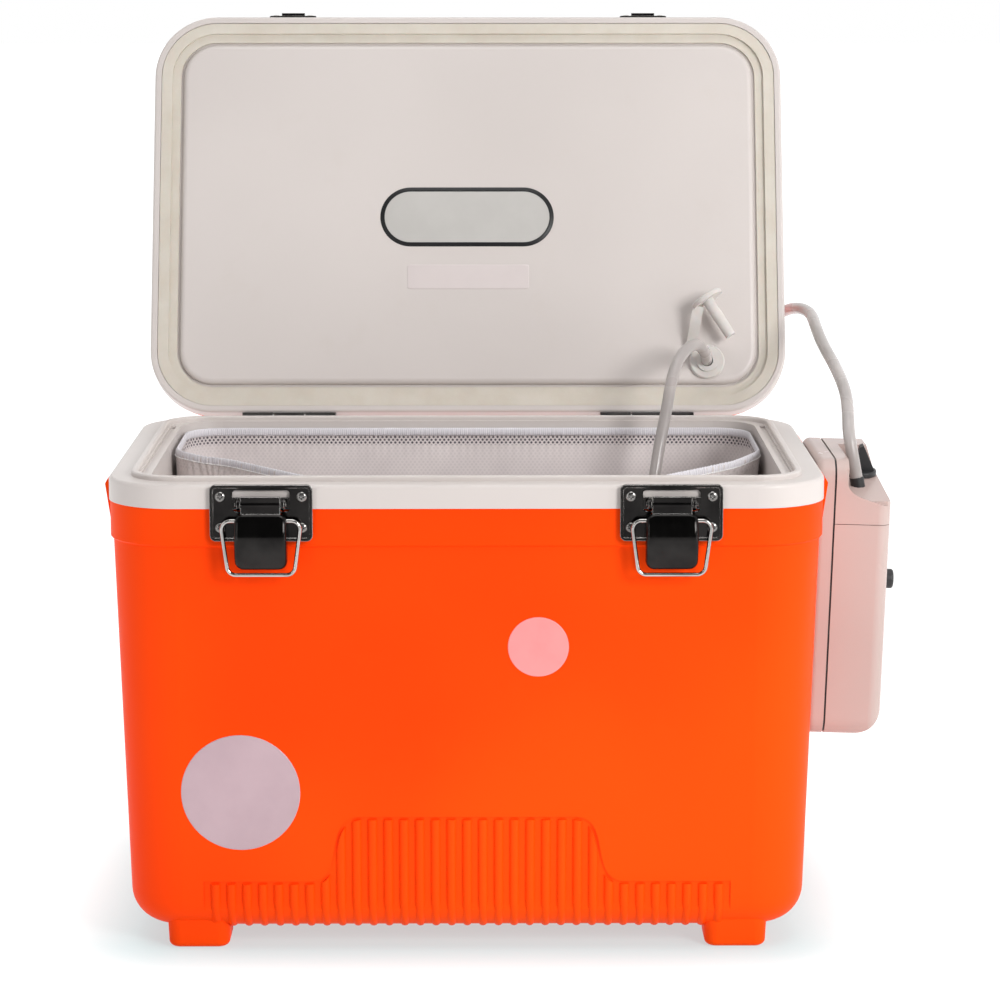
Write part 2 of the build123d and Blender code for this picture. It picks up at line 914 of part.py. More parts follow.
def lever_pad(inset, over):
    """The lever's domed pad, made smaller by its skin and longer at the back."""
    front_top = lever_back - lever_depth * 0.8 + inset
    front_low = lever_back - lever_depth * 0.55 + inset
    crown = lever_back - lever_depth - lever_dome * 0.8 + inset
    middle = (lever_top + lever_low) / 2 + 3.0
    with BuildPart() as pad:
        with BuildSketch(Plane.YZ.offset(-lever_width / 2 + inset)):
            with BuildLine():
                Line((lever_back + over, lever_top - inset), (front_top, lever_top - inset))
                ThreePointArc(
                    (front_top, lever_top - inset), (crown, middle), (front_low, lever_low + inset)
                )
                Line((front_low, lever_low + inset), (lever_back + over, lever_low + inset))
                Line((lever_back + over, lever_low + inset), (lever_back + over, lever_top - inset))
            make_face()
        extrude(amount=lever_width - 2 * inset)
        fillet(pad.edges().filter_by(Axis.Y), lever_corner - inset)
        fillet(pad.faces().sort_by(Axis.Y)[0].edges(), lever_edge_round - inset)
    return pad.part


with BuildPart() as latch_lever:
    add(lever_pad(0.0, 0.0))
    add(lever_pad(lever_skin, 1.0), mode=Mode.SUBTRACT)
    # neck and its knuckle
    with BuildSketch(Plane.YZ.offset(-neck_width / 2)):
        with Locations((pivot_y, pivot_z)):
            Circle(pivot_radius + 1.3)
        with Locations((pivot_y - 1.5, (lever_top + pivot_z) / 2 - 0.5)):
            Rectangle(2.4, pivot_z - lever_top + 1.0)
        with Locations((pivot_y - 1.5, pivot_z + neck_top / 2)):
            Rectangle(2.0, neck_top)
    extrude(amount=neck_width)
    add(cross_rod(0.0, pivot_y, pivot_z, pivot_radius + pin_clearance, plate_width), mode=Mode.SUBTRACT)
    add(cross_rod(0.0, wire_y, wire_z, wire_radius + pin_clearance, plate_width), mode=Mode.SUBTRACT)

hold = lever_width / 2 - wire_hold
latch_bail = wire(
    [
        (-hold, wire_y, wire_z),
        (-wire_half_top, wire_y, wire_z),
        (-wire_half_low, wire_y, wire_z - wire_length),
        (wire_half_low, wire_y, wire_z - wire_length),
        (wire_half_top, wire_y, wire_z),
        (hold, wire_y, wire_z),
    ],
    [wire_bend] * 4,
    wire_radius,
)

for side, place in latch_places.items():
    spot = Location((place, 0, 0))
    save(latch_plate.part.moved(spot), f"{side}_latch_plate")
    save(latch_pin.moved(spot), f"{side}_latch_pin")
    save(latch_lever.part.moved(spot), f"{side}_latch_lever")
    save(latch_bail.moved(spot), f"{side}_latch_bail")

# keepers: plates on the lid's front edge with a hooked lip for the wire
for side, place in latch_places.items():
    keeper_base = shifted(lid_front_face, x=place, z=-keeper_thickness)
    with BuildPart() as keeper:
        with BuildSketch(shifted(keeper_base, y=(keeper_low + keeper_high) / 2)):
            RectangleRounded(keeper_width, keeper_high - keeper_low, 1.5)
        extrude(amount=keeper_thickness)
        with BuildSketch(shifted(keeper_base, y=keeper_lip_low + keeper_thickness / 2)):
            Rectangle(keeper_lip_width, keeper_thickness)
        extrude(amount=keeper_lip_out)
        with BuildSketch(
            shifted(
                keeper_base,
                y=(keeper_lip_low + keeper_lip_high) / 2,
                z=keeper_lip_out - keeper_thickness,
            )
        ):
            Rectangle(keeper_lip_width, keeper_lip_high - keeper_lip_low)
        extrude(amount=keeper_thickness)
        add([screw_bore(plane) for plane in keeper_screw_planes], mode=Mode.SUBTRACT)
    save(keeper.part, f"{side}_keeper")

# ---- lid port, plug and strap ----
bore_radius = airline_radius + pin_clearance
port_low = panel_rise - port_flange
strap_way = port_plane.x_dir * sin(radians(strap_turn)) + port_plane.y_dir * cos(radians(strap_turn))
with BuildPart() as port_grommet:
    with BuildSketch(
        Plane(origin=port_plane.origin, x_dir=port_plane.x_dir, z_dir=-port_plane.y_dir)
    ):
        with BuildLine():
            Polyline(
                (bore_radius, port_low - port_ring),
                (port_sleeve_radius, port_low - port_ring),
                (port_sleeve_radius, port_low),
                (port_flange_radius - 0.7, port_low),
                (port_flange_radius, port_low + 0.7),
                (port_flange_radius, panel_rise),
                (port_sleeve_radius, panel_rise),
                (port_sleeve_radius, crown_top),
                (port_flange_radius - 1.0, crown_top),
                (port_flange_radius - 1.0, crown_top + 1.3),
                (port_flange_radius - 2.0, crown_top + port_flange),
                (bore_radius, crown_top + port_flange),
                close=True,
            )
        make_face()
    revolve(axis=Axis(port_plane.origin, port_plane.z_dir))
    # a tab on the flange carries the plug's strap
    tab_plane = Plane(
        origin=shifted(port_plane, z=panel_rise).origin, x_dir=strap_way, z_dir=-port_plane.z_dir
    )
    with BuildSketch(tab_plane):
        with Locations(((port_sleeve_radius + strap_reach + 1.5) / 2, 0)):
            Rectangle(strap_reach + 1.5 - port_sleeve_radius, strap_width + 1.0)
    extrude(amount=port_flange)
save(port_grommet.part, "port_grommet")


# the plug stands off the lid's panel on a flat strap that bends up from that tab
plug_way = Vector(-sin(radians(plug_turn)), -cos(radians(plug_turn)), 0.0)
plug_plane = Plane(
    origin=shifted(port_plane, x=plug_off_x, y=plug_off_s, z=-plug_height).origin,
    x_dir=lid_plane.z_dir,
    z_dir=lid_plane.x_dir * plug_way.X + lid_plane.y_dir * plug_way.Y,
)
strap_root = shifted(port_plane, z=port_low).origin + strap_way * strap_reach
rim_point = plug_plane.origin - plug_plane.y_dir * plug_flange_radius * 0.7
strap_span = rim_point - strap_root
strap_rise = plug_height + port_low - strap_thickness / 2
strap_line = (strap_span - lid_plane.z_dir * strap_span.dot(lid_plane.z_dir)).normalized()
strap_run = strap_span.dot(strap_line)
strap_plane = Plane(origin=strap_root, x_dir=strap_line, z_dir=lid_plane.z_dir.cross(strap_line))
with BuildPart() as port_plug:
    with BuildSketch(plug_plane):
        Circle(plug_flange_radius)
    extrude(amount=-plug_flange)
    plug_axis = Axis(plug_plane.origin, plug_plane.z_dir)
    chamfer(port_plug.faces().sort_by(plug_axis)[0].edges(), plug_chamfer)
    with BuildSketch(plug_plane):
        Circle(plug_stem_radius)
    extrude(amount=plug_stem_length, taper=1.0)
    with BuildSketch(strap_plane.offset(-strap_width / 2)):
        with BuildLine():
            Line((0, strap_thickness), (0, 0))
            Spline((0, 0), (strap_run, strap_rise), tangents=((1, 0.4), (1, 0)))
            Line((strap_run, strap_rise), (strap_run, strap_rise + strap_thickness))
            Spline(
                (strap_run, strap_rise + strap_thickness),
                (0, strap_thickness),
                tangents=((-1, 0), (-1, -0.4)),
            )
        make_face()
    extrude(amount=strap_width)
save(port_plug.part, "port_plug")


# ---- pump case ----
def pump_side(out):
    """A plane parallel to the pump's flat face, with Y across and the pump's height up."""
    return Plane(origin=pump_plane.from_local_coords((out, 0, 0)), x_dir=(0, 1, 0), z_dir=pump_out)


def pump_box(out, across, up):
    """A plain block in the pump's frame between pairs of limits."""
    with BuildPart() as block:
        with BuildSketch(pump_side(out[0])):
            with Locations((sum(across) / 2, sum(up) / 2)):
                Rectangle(across[1] - across[0], up[1] - up[0])
        extrude(amount=out[1] - out[0])
    return block.part


pump_section = Plane(
    origin=pump_plane.from_local_coords((0, pump_depth, 0)), x_dir=pump_out, z_dir=(0, -1, 0)
)
pump_axis = Axis(pump_plane.origin, pump_plane.x_dir)


def case_block(shrink):
    """The whole pump case as one block: a rounded tablet with a sloping shoulder outwards."""
    with BuildPart() as block:
        with BuildSketch(pump_side(shrink)):
            with Locations((0, pump_height / 2)):
                RectangleRounded(
                    pump_depth - 2 * shrink, pump_height - 2 * shrink, case_corner - shrink
                )
        extrude(amount=case_thickness - 2 * shrink)
        fillet(block.faces().sort_by(pump_axis)[-1].edges(), case_edge_round - shrink)
        with BuildSketch(pump_section):
            with BuildLine():
                outline = Polyline(
                    (0, 0),
                    (case_thickness, 0),
                    (case_thickness, pump_height - cap_slope_drop),
                    (case_thickness - cap_slope_run, pump_height),
                    (0, pump_height),
                    close=True,
                )
            make_face()
            fillet(outline.vertices().sort_by(Axis.X)[-2:].sort_by(Axis.Z)[0:1], cover_low_round)
            offset(amount=-shrink)
        extrude(amount=2 * pump_depth, mode=Mode.INTERSECT)
    return block.part


pump_solid = case_block(0.0)
pump_hollow = case_block(case_wall)
cap_z = pump_height - cap_height
front_out = rear_thickness + seal_thickness
wide = (-pump_depth, pump_depth)
tall = (-10.0, pump_height + 10.0)
past_front = case_thickness + 5.0
slot_head_out = rail_neck_depth + rail_head_depth
boss_out = slot_head_out + boss_wall
boss_half = rail_head / 2 + boss_wall
rail_slot = [
    pump_box((-1.0, rail_neck_depth), (-rail_neck / 2, rail_neck / 2), (-5.0, rail_high)),
    pump_box((rail_neck_depth, slot_head_out), (-rail_head / 2, rail_head / 2), (-5.0, rail_high)),
    pump_box((-1.0, screw_relief), (-rail_neck / 2, rail_neck / 2), (rail_high, relief_high)),
]

with BuildPart() as pump_rear_shell:
    add(pump_solid)
    add(pump_box((rear_thickness, past_front), wide, tall), mode=Mode.SUBTRACT)
    fillet(pump_rear_shell.faces().sort_by(pump_axis)[0].edges(), rear_round)
    add(pump_hollow, mode=Mode.SUBTRACT)
    add(pump_box((1.0, boss_out), (-boss_half, boss_half), (1.0, relief_high + boss_wall)))
    add(rail_slot, mode=Mode.SUBTRACT)
save(pump_rear_shell.part, "pump_rear_shell")

with BuildPart() as pump_seal:
    add(case_block(seal_inset))
    add(case_block(seal_inset + seal_width), mode=Mode.SUBTRACT)
    add(pump_box((-5.0, rear_thickness), wide, tall), mode=Mode.SUBTRACT)
    add(pump_box((front_out, past_front), wide, tall), mode=Mode.SUBTRACT)
save(pump_seal.part, "pump_seal")

# the scoop in the cap is open upwards and outwards; its front wall falls in an S to a low lip
scoop_z = pump_height - scoop_floor
tilt = radians(scoop_tilt)


def scoop_block(grow):
    """The scoop's own space, grown by a wall."""
    near = case_wall - grow - pump_depth / 2
    with BuildPart() as block:
        with BuildSketch(pump_side(scoop_start - grow)):
            with BuildLine():
                Polyline(
                    (scoop_far + grow, pump_height + 20.0),
                    (scoop_far + grow, scoop_z - grow + grow * tan(tilt)),
                    (near, scoop_z - grow + (near - scoop_far) * tan(tilt)),
                    (near, pump_height + 20.0),
                    close=True,
                )
            make_face()
        extrude(amount=case_thickness)
        inner = block.faces().sort_by(pump_axis)[0].edges().sort_by(Axis.Z)[0]
        fillet(inner, scoop_round + grow)
    return block.part


notch_plane = Plane(
    origin=pump_plane.from_local_coords((0, case_wall - pump_depth / 2, 0)),
    x_dir=pump_out,
    z_dir=(0, -1, 0),
)
notch_far = case_thickness + 5.0
with BuildPart() as front_notch:
    with BuildSketch(notch_plane):
        with BuildLine():
            Line((notch_start, pump_height + 5.0), (notch_start, pump_height - notch_top))
            Spline(
                (notch_start, pump_height - notch_top),
                (notch_end, pump_height - notch_low),
                tangents=((0, -1), (1, -notch_fall)),
            )
            Polyline(
                (notch_end, pump_height - notch_low),
                (notch_far, pump_height - notch_low - (notch_far - notch_end) * notch_fall),
                (notch_far, pump_height + 5.0),
                (notch_start, pump_height + 5.0),
            )
        make_face()
    extrude(amount=case_wall + 5.0)


def on_scoop(out, across):
    """A plane on the scoop's floor, with X outwards and Z along the floor's normal."""
    return Plane(
        origin=pump_plane.from_local_coords(
            (out, across, scoop_z - (scoop_far - across) * tan(tilt))
        ),
        x_dir=pump_out,
        z_dir=Vector(*pump_up) * cos(tilt) - Vector(0, 1, 0) * sin(tilt),
    )


knob_plane = on_scoop(knob_x, knob_y)
nozzle_seat = on_scoop(nozzle_x, nozzle_y)
nozzle_lean = radians(nozzle_tilt + wall_draft)
nozzle_plane = Plane(
    origin=nozzle_seat.origin,
    x_dir=(cos(nozzle_lean), 0, sin(nozzle_lean)),
    z_dir=(-sin(nozzle_lean), 0, cos(nozzle_lean)),
)
nozzle_stem_radius = nozzle_radius - 1.2
floor_space = 4.0

with BuildPart() as pump_cap:
    add(pump_solid)
    add(pump_box((-5.0, front_out), wide, tall), mode=Mode.SUBTRACT)
    add(pump_box((-5.0, past_front), wide, (-10.0, cap_z + cap_joint / 2)), mode=Mode.SUBTRACT)
    add(scoop_block(0.0), mode=Mode.SUBTRACT)
    add(front_notch.part, mode=Mode.SUBTRACT)
    add(pump_hollow - scoop_block(case_wall), mode=Mode.SUBTRACT)
    for plane, radius in (
        (knob_plane, knob_shaft_radius + pin_clearance),
        (nozzle_plane, nozzle_stem_radius),
    ):
        add(rod(shifted(plane, z=floor_space), radius, -3 * floor_space), mode=Mode.SUBTRACT)
save(pump_cap.part, "pump_cap")

button_plane = Plane(
    origin=pump_plane.from_local_coords((case_thickness, button_across, pump_height - button_drop)),
    x_dir=(0, 1, 0),
    z_dir=pump_out,
)
button_hole = rod(shifted(button_plane, z=2.0), button_radius + pin_clearance, -8.0)
with BuildPart() as pump_cover:
    add(pump_solid)
    add(pump_box((-5.0, front_out), wide, tall), mode=Mode.SUBTRACT)
    add(
        pump_box((-5.0, past_front), wide, (cap_z - cap_joint / 2, pump_height + 10.0)),
        mode=Mode.SUBTRACT,
    )
    add(pump_hollow, mode=Mode.SUBTRACT)
    add(button_hole, mode=Mode.SUBTRACT)
save(pump_cover.part, "pump_cover")

# ---- button, knob and nozzle ----
button_base = shifted(button_plane, z=-case_wall)
with BuildPart() as side_button:
    add(rod(button_base, button_radius, case_wall + button_out))
    fillet(side_button.faces().sort_by(pump_axis)[-1].edges(), button_round)
    add(rod(button_base, button_radius + button_lip, -button_lip))
save(side_button.part, "side_button")

spring_gap = button_lip + button_travel + 0.2
with BuildPart() as button_spring:
    with BuildSketch(shifted(button_base, z=-spring_gap)):
        Rectangle(spring_span, spring_width)
    extrude(amount=-spring_sheet)
    with BuildSketch(shifted(button_base, z=-spring_gap)):
        with Locations(*[(way * (spring_span - spring_sheet) / 2, 0) for way in (-1, 1)]):
            Rectangle(spring_sheet, spring_width)
    extrude(amount=spring_gap)
save(button_spring.part, "button_spring")

knob_base = shifted(knob_plane, z=knob_gap)
shaft_length = knob_gap + case_wall + shaft_depth
with BuildPart() as selector_knob:
    with BuildSketch(knob_base):
        Circle(knob_disc_radius)
    extrude(amount=knob_disc)
    fillet(selector_knob.faces().sort_by(Axis(knob_plane.origin, knob_plane.z_dir))[-1].edges(), 0.8)
    fin_origin = shifted(knob_base, y=knob_fin_thickness / 2, z=knob_disc).origin
    with BuildSketch(Plane(origin=fin_origin, x_dir=knob_plane.x_dir, z_dir=-knob_plane.y_dir)):
        with BuildLine():
            Polyline(
                (-knob_disc_radius * 0.35, 0),
                (-knob_disc_radius * 0.1, knob_fin_height - 0.8),
                (knob_disc_radius * 0.1, knob_fin_height),
                (knob_disc_radius * 0.2, knob_fin_height - 1.4),
                (knob_disc_radius * 0.85, 0),
                close=True,
            )
        make_face()
    extrude(amount=knob_fin_thickness)
    add(rod(knob_base, knob_shaft_radius, -shaft_length))
save(selector_knob.part, "selector_knob")

# the hose is pushed over the nozzle's spigot, down to its collar
collar_top = shifted(nozzle_plane, z=nozzle_collar)
with BuildPart() as air_nozzle:
    add(rod(shifted(nozzle_plane, z=-floor_space), nozzle_radius, floor_space + nozzle_collar))
    split(bisect_by=nozzle_seat, keep=Keep.TOP)
    add(rod(shifted(nozzle_plane, z=1.0), nozzle_stem_radius, -2 * floor_space))
    add(rod(shifted(collar_top, z=-1.0), airline_bore - pin_fit, spigot_length + 1.0))
    add(rod(shifted(nozzle_plane, z=-3 * floor_space), spigot_bore, 40.0), mode=Mode.SUBTRACT)
save(air_nozzle.part, "air_nozzle")

# ---- pump bracket on the box's end wall ----
rail_inner = pump_gap + wall_inset
with BuildPart() as pump_bracket:
    add(
        pump_box(
            (-rail_inner, bracket_plate - rail_inner),
            (-bracket_width / 2, bracket_width / 2),
            (bracket_low, bracket_high),
        )
    )
    add(
        pump_box(
            (bracket_plate - rail_inner, rail_neck_depth + rail_clear),
            (rail_clear - rail_neck / 2, rail_neck / 2 - rail_clear),
            (rail_low, rail_high),
        )
    )
    add(
        pump_box(
            (rail_neck_depth + rail_clear, slot_head_out - rail_clear),
            (rail_clear - rail_head / 2, rail_head / 2 - rail_clear),
            (rail_low, rail_high),
        )
    )
    add([screw_bore(plane) for plane in bracket_screw_planes], mode=Mode.SUBTRACT)
save(pump_bracket.part, "pump_bracket")


# ---- inside the pump ----
def pump_post(out, across, up, radius, length):
    """A round bar that stands upright in the pump."""
    base = Plane(
        origin=pump_plane.from_local_coords((out, across, up)), x_dir=pump_out, z_dir=pump_up
    )
    return rod(base, radius, length)


cell_out = boss_out + cradle_wall + cell_gap / 2 + cell_radius
cell_across = cell_radius + cell_gap / 2
cell_high = cell_foot + cell_length
cradle_half = cell_across + cell_radius + 1.0
contact_low = cell_foot - contact_height
with BuildPart() as battery_cradle:
    back = (boss_out, boss_out + cradle_wall)
    across = (-cradle_half, cradle_half)
    top_low = cell_high + nub_height + contact_height
    add(pump_box(back, across, (contact_low - cradle_wall, top_low + cradle_wall)))
    for low, reach in ((contact_low - cradle_wall, cradle_reach_low), (top_low, cradle_reach_high)):
        add(pump_box((boss_out, reach), across, (low, low + cradle_wall)))
save(battery_cradle.part, "battery_cradle")

for side, way in (("left", -1), ("right", 1)):
    with BuildPart() as cell:
        add(pump_post(cell_out, way * cell_across, cell_foot, cell_radius, cell_length))
        fillet(cell.edges().filter_by(GeomType.CIRCLE), cell_edge_round)
        add(pump_post(cell_out, way * cell_across, cell_high, nub_radius, nub_height))
    save(cell.part, f"{side}_battery_cell")

# bent contact strips, two under the cells and a joining one above them
with BuildPart() as contact_springs:
    for way in (-1, 1):
        mid = way * cell_across
        reach = (cell_out - nub_radius, cell_out + nub_radius)
        add(pump_box(reach, (mid - 7.0, mid + 7.0), (contact_low, contact_low + contact_sheet)))
        add(pump_box(reach, (mid + 6.0, mid + 7.0), (contact_low, cell_foot - contact_sheet)))
        add(pump_box(reach, (mid - 4.0, mid + 7.0), (cell_foot - contact_sheet, cell_foot)))
save(contact_springs.part, "contact_springs")

with BuildPart() as contact_plate:
    reach = (cell_out - nub_radius, cell_out + nub_radius)
    across = (-cell_across - nub_radius, cell_across + nub_radius)
    add(pump_box(reach, across, (cell_high + nub_height, top_low)))
save(contact_plate.part, "contact_plate")

motor_low = top_low + cradle_wall
motor_high = motor_low + motor_length
with BuildPart() as motor:
    add(pump_post(motor_out, motor_across, motor_low, motor_radius, motor_length))
    chamfer(motor.edges().filter_by(GeomType.CIRCLE), 0.8)
    add(pump_post(motor_out, motor_across, motor_high, motor_shaft_radius, motor_shaft_length))
save(motor.part, "motor")

crank_low = motor_high + 2.0
crank_bore = motor_shaft_radius + pin_clearance
with BuildPart() as eccentric:
    add(pump_post(motor_out, motor_across, crank_low, crank_radius, crank_thickness))
    add(pump_post(motor_out + crank_throw, motor_across, crank_low, crank_pin_radius, 2 * crank_thickness))
    add(
        pump_post(motor_out, motor_across, crank_low - 1.0, crank_bore, motor_shaft_length),
        mode=Mode.SUBTRACT,
    )
save(eccentric.part, "eccentric")

yoke_low = crank_low + crank_thickness + 0.5
yoke_high = yoke_low + yoke_thickness
yoke_eye = crank_throw + crank_pin_radius + 0.4
head_high = yoke_low - 0.5
with BuildPart() as rocker:
    add(
        pump_box(
            (motor_out - yoke_width / 2, motor_out + yoke_width / 2),
            (head_across, motor_across),
            (yoke_low, yoke_high),
        )
    )
    add(pump_post(motor_out, motor_across, yoke_low, yoke_eye + 2.0, yoke_thickness))
    add(
        pump_post(motor_out, motor_across, yoke_low - 1.0, yoke_eye, 2 * yoke_thickness),
        mode=Mode.SUBTRACT,
    )
    add(pump_post(motor_out, head_across, head_high, rocker_stem_radius, yoke_low - head_high + 0.2))
save(rocker.part, "rocker")

with BuildPart() as pump_head:
    add(pump_post(motor_out, head_across, motor_low, head_radius, head_high - motor_low))
    add(
        pump_box(
            (motor_out - 4.0, motor_out + 4.0),
            (head_across - head_radius - head_port, head_across),
            (motor_low + 4.0, motor_low + 12.0),
        )
    )
save(pump_head.part, "pump_head")

with BuildPart() as rotary_switch:
    with BuildSketch(shifted(knob_plane, z=-case_wall)):
        Rectangle(switch_side, switch_side)
    extrude(amount=-switch_depth)
    add(rod(knob_base, knob_shaft_radius + pin_clearance, -shaft_length - knob_gap), mode=Mode.SUBTRACT)
save(rotary_switch.part, "rotary_switch")

with BuildPart() as circuit_board:
    with BuildSketch(shifted(knob_plane, z=-case_wall - switch_depth)):
        Rectangle(board_out, board_across)
    extrude(amount=-board_thickness)
save(circuit_board.part, "circuit_board")


# ---- airline and stone ----
def bend_radii(points):
    """The largest tangent arcs that leave each run between two bends a short straight."""
    radii = []
    for before, corner, after in zip(points, points[1:], points[2:]):
        run_in = Vector(*corner) - Vector(*before)
        run_out = Vector(*after) - Vector(*corner)
        turn = run_in.get_angle(run_out)
        radii.append(bend_share * min(run_in.length, run_out.length) / tan(radians(turn / 2)))
    return radii


def airline(points, name):
    """A round tube along a route; its length and tightest bend are printed."""
    radii = bend_radii(points)
    with BuildPart() as tube:
        with BuildLine() as route:
            FilletPolyline(*points, radius=radii)
        path = route.wires()[0]
        with BuildSketch(Plane(origin=path @ 0, z_dir=path % 0)) as section:
            Circle(airline_radius)
            Circle(airline_bore, mode=Mode.SUBTRACT)
        sweep(path=path)
    save(tube.part, name)
    print(name, "length", round(path.length, 1), "radii", [round(radius, 1) for radius in radii])
    print(name, "volume", round(tube.part.volume), "expected", round(section.sketch.area * path.length))


def on_port(distance):
    """A point on the port's axis, measured outwards from the lid's mating face."""
    point = shifted(port_plane, z=distance).origin
    return (point.X, point.Y, point.Z)


tube_joint = crown_top / 2
nozzle_mouth = shifted(collar_top, z=12.0).origin
airline(
    [
        on_port(tube_joint),
        on_port(crown_top + port_flange + 16.0),
        (150.0, 193.0, 268.5),
        (169.7, 193.0, 285.0),
        (183.9, 176.0, 296.8),
        (190.2, 152.0, 301.0),
        (194.6, 127.0, 300.6),
        (195.0, 102.0, 294.6),
        (196.4, 78.0, 288.2),
        (200.2, 44.0, 279.8),
        (202.3, 14.0, 271.0),
        (201.6, -4.5, 262.0),
        (200.9, -13.5, 253.5),
        (nozzle_mouth.X, nozzle_mouth.Y, nozzle_mouth.Z),
        (collar_top.origin.X, collar_top.origin.Y, collar_top.origin.Z),
    ],
    "airline_outer",
)
stone_low = net_low + net_thickness
airline(
    [
        on_port(tube_joint),
        on_port(port_low - port_ring - 10.0),
        (128.4, 101.5, 287.4),
        (118.4, 86.0, 282.6),
        (112.8, 76.5, 270.2),
        (109.6, 68.0, 253.2),
        (104.4, 57.0, 231.0),
        (99.0, 48.0, 195.0),
        (95.0, 42.0, 145.0),
        (stone_x, stone_y, 100.0),
        (stone_x, stone_y, stone_low + stone_length),
    ],
    "airline_inner",
)
with BuildPart() as air_stone:
    add(rod(Plane(origin=(stone_x, stone_y, stone_low)), stone_radius, stone_length))
    fillet(air_stone.edges().filter_by(GeomType.CIRCLE), 1.5)
save(air_stone.part, "air_stone")
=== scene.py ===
import math

import bmesh
import bpy
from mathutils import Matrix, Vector, noise


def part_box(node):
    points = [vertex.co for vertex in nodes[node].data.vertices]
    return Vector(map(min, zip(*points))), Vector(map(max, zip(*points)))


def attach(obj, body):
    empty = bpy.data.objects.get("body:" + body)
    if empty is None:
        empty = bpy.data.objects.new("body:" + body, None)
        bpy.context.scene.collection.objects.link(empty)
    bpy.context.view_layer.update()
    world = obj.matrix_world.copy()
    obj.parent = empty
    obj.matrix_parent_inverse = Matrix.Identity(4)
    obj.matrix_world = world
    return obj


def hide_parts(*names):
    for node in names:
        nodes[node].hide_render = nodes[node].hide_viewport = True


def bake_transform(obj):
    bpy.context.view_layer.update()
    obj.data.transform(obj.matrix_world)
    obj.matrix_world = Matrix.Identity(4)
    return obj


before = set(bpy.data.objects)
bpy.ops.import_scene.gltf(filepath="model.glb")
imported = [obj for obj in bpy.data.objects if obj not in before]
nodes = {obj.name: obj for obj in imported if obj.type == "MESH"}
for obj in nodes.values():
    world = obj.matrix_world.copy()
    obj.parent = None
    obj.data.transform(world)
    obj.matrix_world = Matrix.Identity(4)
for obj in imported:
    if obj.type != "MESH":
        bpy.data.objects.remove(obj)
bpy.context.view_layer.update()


# a socket that takes part in arithmetic
class Wire:
    def __init__(self, graph, socket):
        self.graph = graph
        self.socket = socket

    def math(self, kind, *others):
        return self.graph.math(kind, self, *others)

    def __add__(self, other):
        return self.graph.math("ADD", self, other)

    __radd__ = __add__

    def __sub__(self, other):
        return self.graph.math("SUBTRACT", self, other)

    def __rsub__(self, other):
        return self.graph.math("SUBTRACT", other, self)

    def __mul__(self, other):
        return self.graph.math("MULTIPLY", self, other)

    __rmul__ = __mul__

    def __truediv__(self, other):
        return self.graph.math("DIVIDE", self, other)

    def __rtruediv__(self, other):
        return self.graph.math("DIVIDE", other, self)

    def __lt__(self, other):
        return self.graph.math("LESS_THAN", self, other)


# one material and the nodes that feed its shader
class Graph:
    def __init__(self, name, **constants):
        self.material = bpy.data.materials.new(name)
        self.material.use_nodes = True
        self.tree = self.material.node_tree
        self.shader = self.tree.nodes["Principled BSDF"]
        for label, value in constants.items():
            self.put(label.replace("_", " "), value)

    def feed(self, socket, value):
        if isinstance(value, Wire):
            self.tree.links.new(value.socket, socket)
        else:
            socket.default_value = value

    def node(self, kind, settings=None, inputs=None, out=0):
        made = self.tree.nodes.new(kind)
        for label, value in (settings or {}).items():
            setattr(made, label, value)
        for label, value in (inputs or {}).items():
            self.feed(made.inputs[label], value)
        return Wire(self, made.outputs[out])

    def math(self, kind, *values):
        return self.node("ShaderNodeMath", {"operation": kind}, dict(enumerate(values)))

    def put(self, label, value):
        self.feed(self.shader.inputs[label], value)

    def place(self):
        return self.node("ShaderNodeTexCoord", out="Object")

    def noise(self, scale, detail=3.0, rough=0.5, at=None):
        inputs = {"Vector": at or self.place(), "Scale": scale, "Detail": detail, "Roughness": rough}
        return self.node("ShaderNodeTexNoise", None, inputs)

    # a value spread between two limits, as a number from 0 to 1 or into a new range
    def spread(self, value, low, high, newLow=0.0, newHigh=1.0):
        inputs = {"Value": value, "From Min": low, "From Max": high, "To Min": newLow, "To Max": newHigh}
        return self.node("ShaderNodeMapRange", {"interpolation_type": "SMOOTHSTEP"}, inputs)

    # sockets 0, 6 and 7 are the colour mix's factor and its two colours, and 2 is its result
    def mix(self, share, first, second):
        inputs = {0: share, 6: tint(first), 7: tint(second)}
        return self.node("ShaderNodeMix", {"data_type": "RGBA"}, inputs, out=2)

    def bump(self, height, strength, distance, under=None):
        inputs = {"Height": height, "Strength": strength, "Distance": distance}
        if under:
            inputs["Normal"] = under
        return self.node("ShaderNodeBump", None, inputs)

    def parts(self, vector):
        first = self.node("ShaderNodeSeparateXYZ", None, {0: vector})
        return [Wire(self, socket) for socket in first.socket.node.outputs]


# the world's nodes, in the same way
class Sky(Graph):
    def __init__(self, name):
        self.world = bpy.data.worlds.new(name)
        self.world.use_nodes = True
        self.tree = self.world.node_tree
        self.shader = self.tree.nodes["Background"]


def tint(colour):
    return colour if isinstance(colour, Wire) or len(colour) == 4 else (*colour, 1.0)


def linear(red, green, blue):
    # 0-255 screen values to the shader's linear ones
    return tuple(
        c / 12.92 if c <= 0.04045 else ((c + 0.055) / 1.055) ** 2.4
        for c in (red / 255, green / 255, blue / 255)
    )


def placed(name, mesh):
    made = bpy.data.objects.new(name, mesh)
    bpy.context.collection.objects.link(made)
    return made


def smoothed(mesh):
    for face in mesh.polygons:
        face.use_smooth = True


def dress(names, graph):
    for name in names:
        mesh = nodes[name].data
        mesh.materials.clear()
        mesh.materials.append(graph.material)


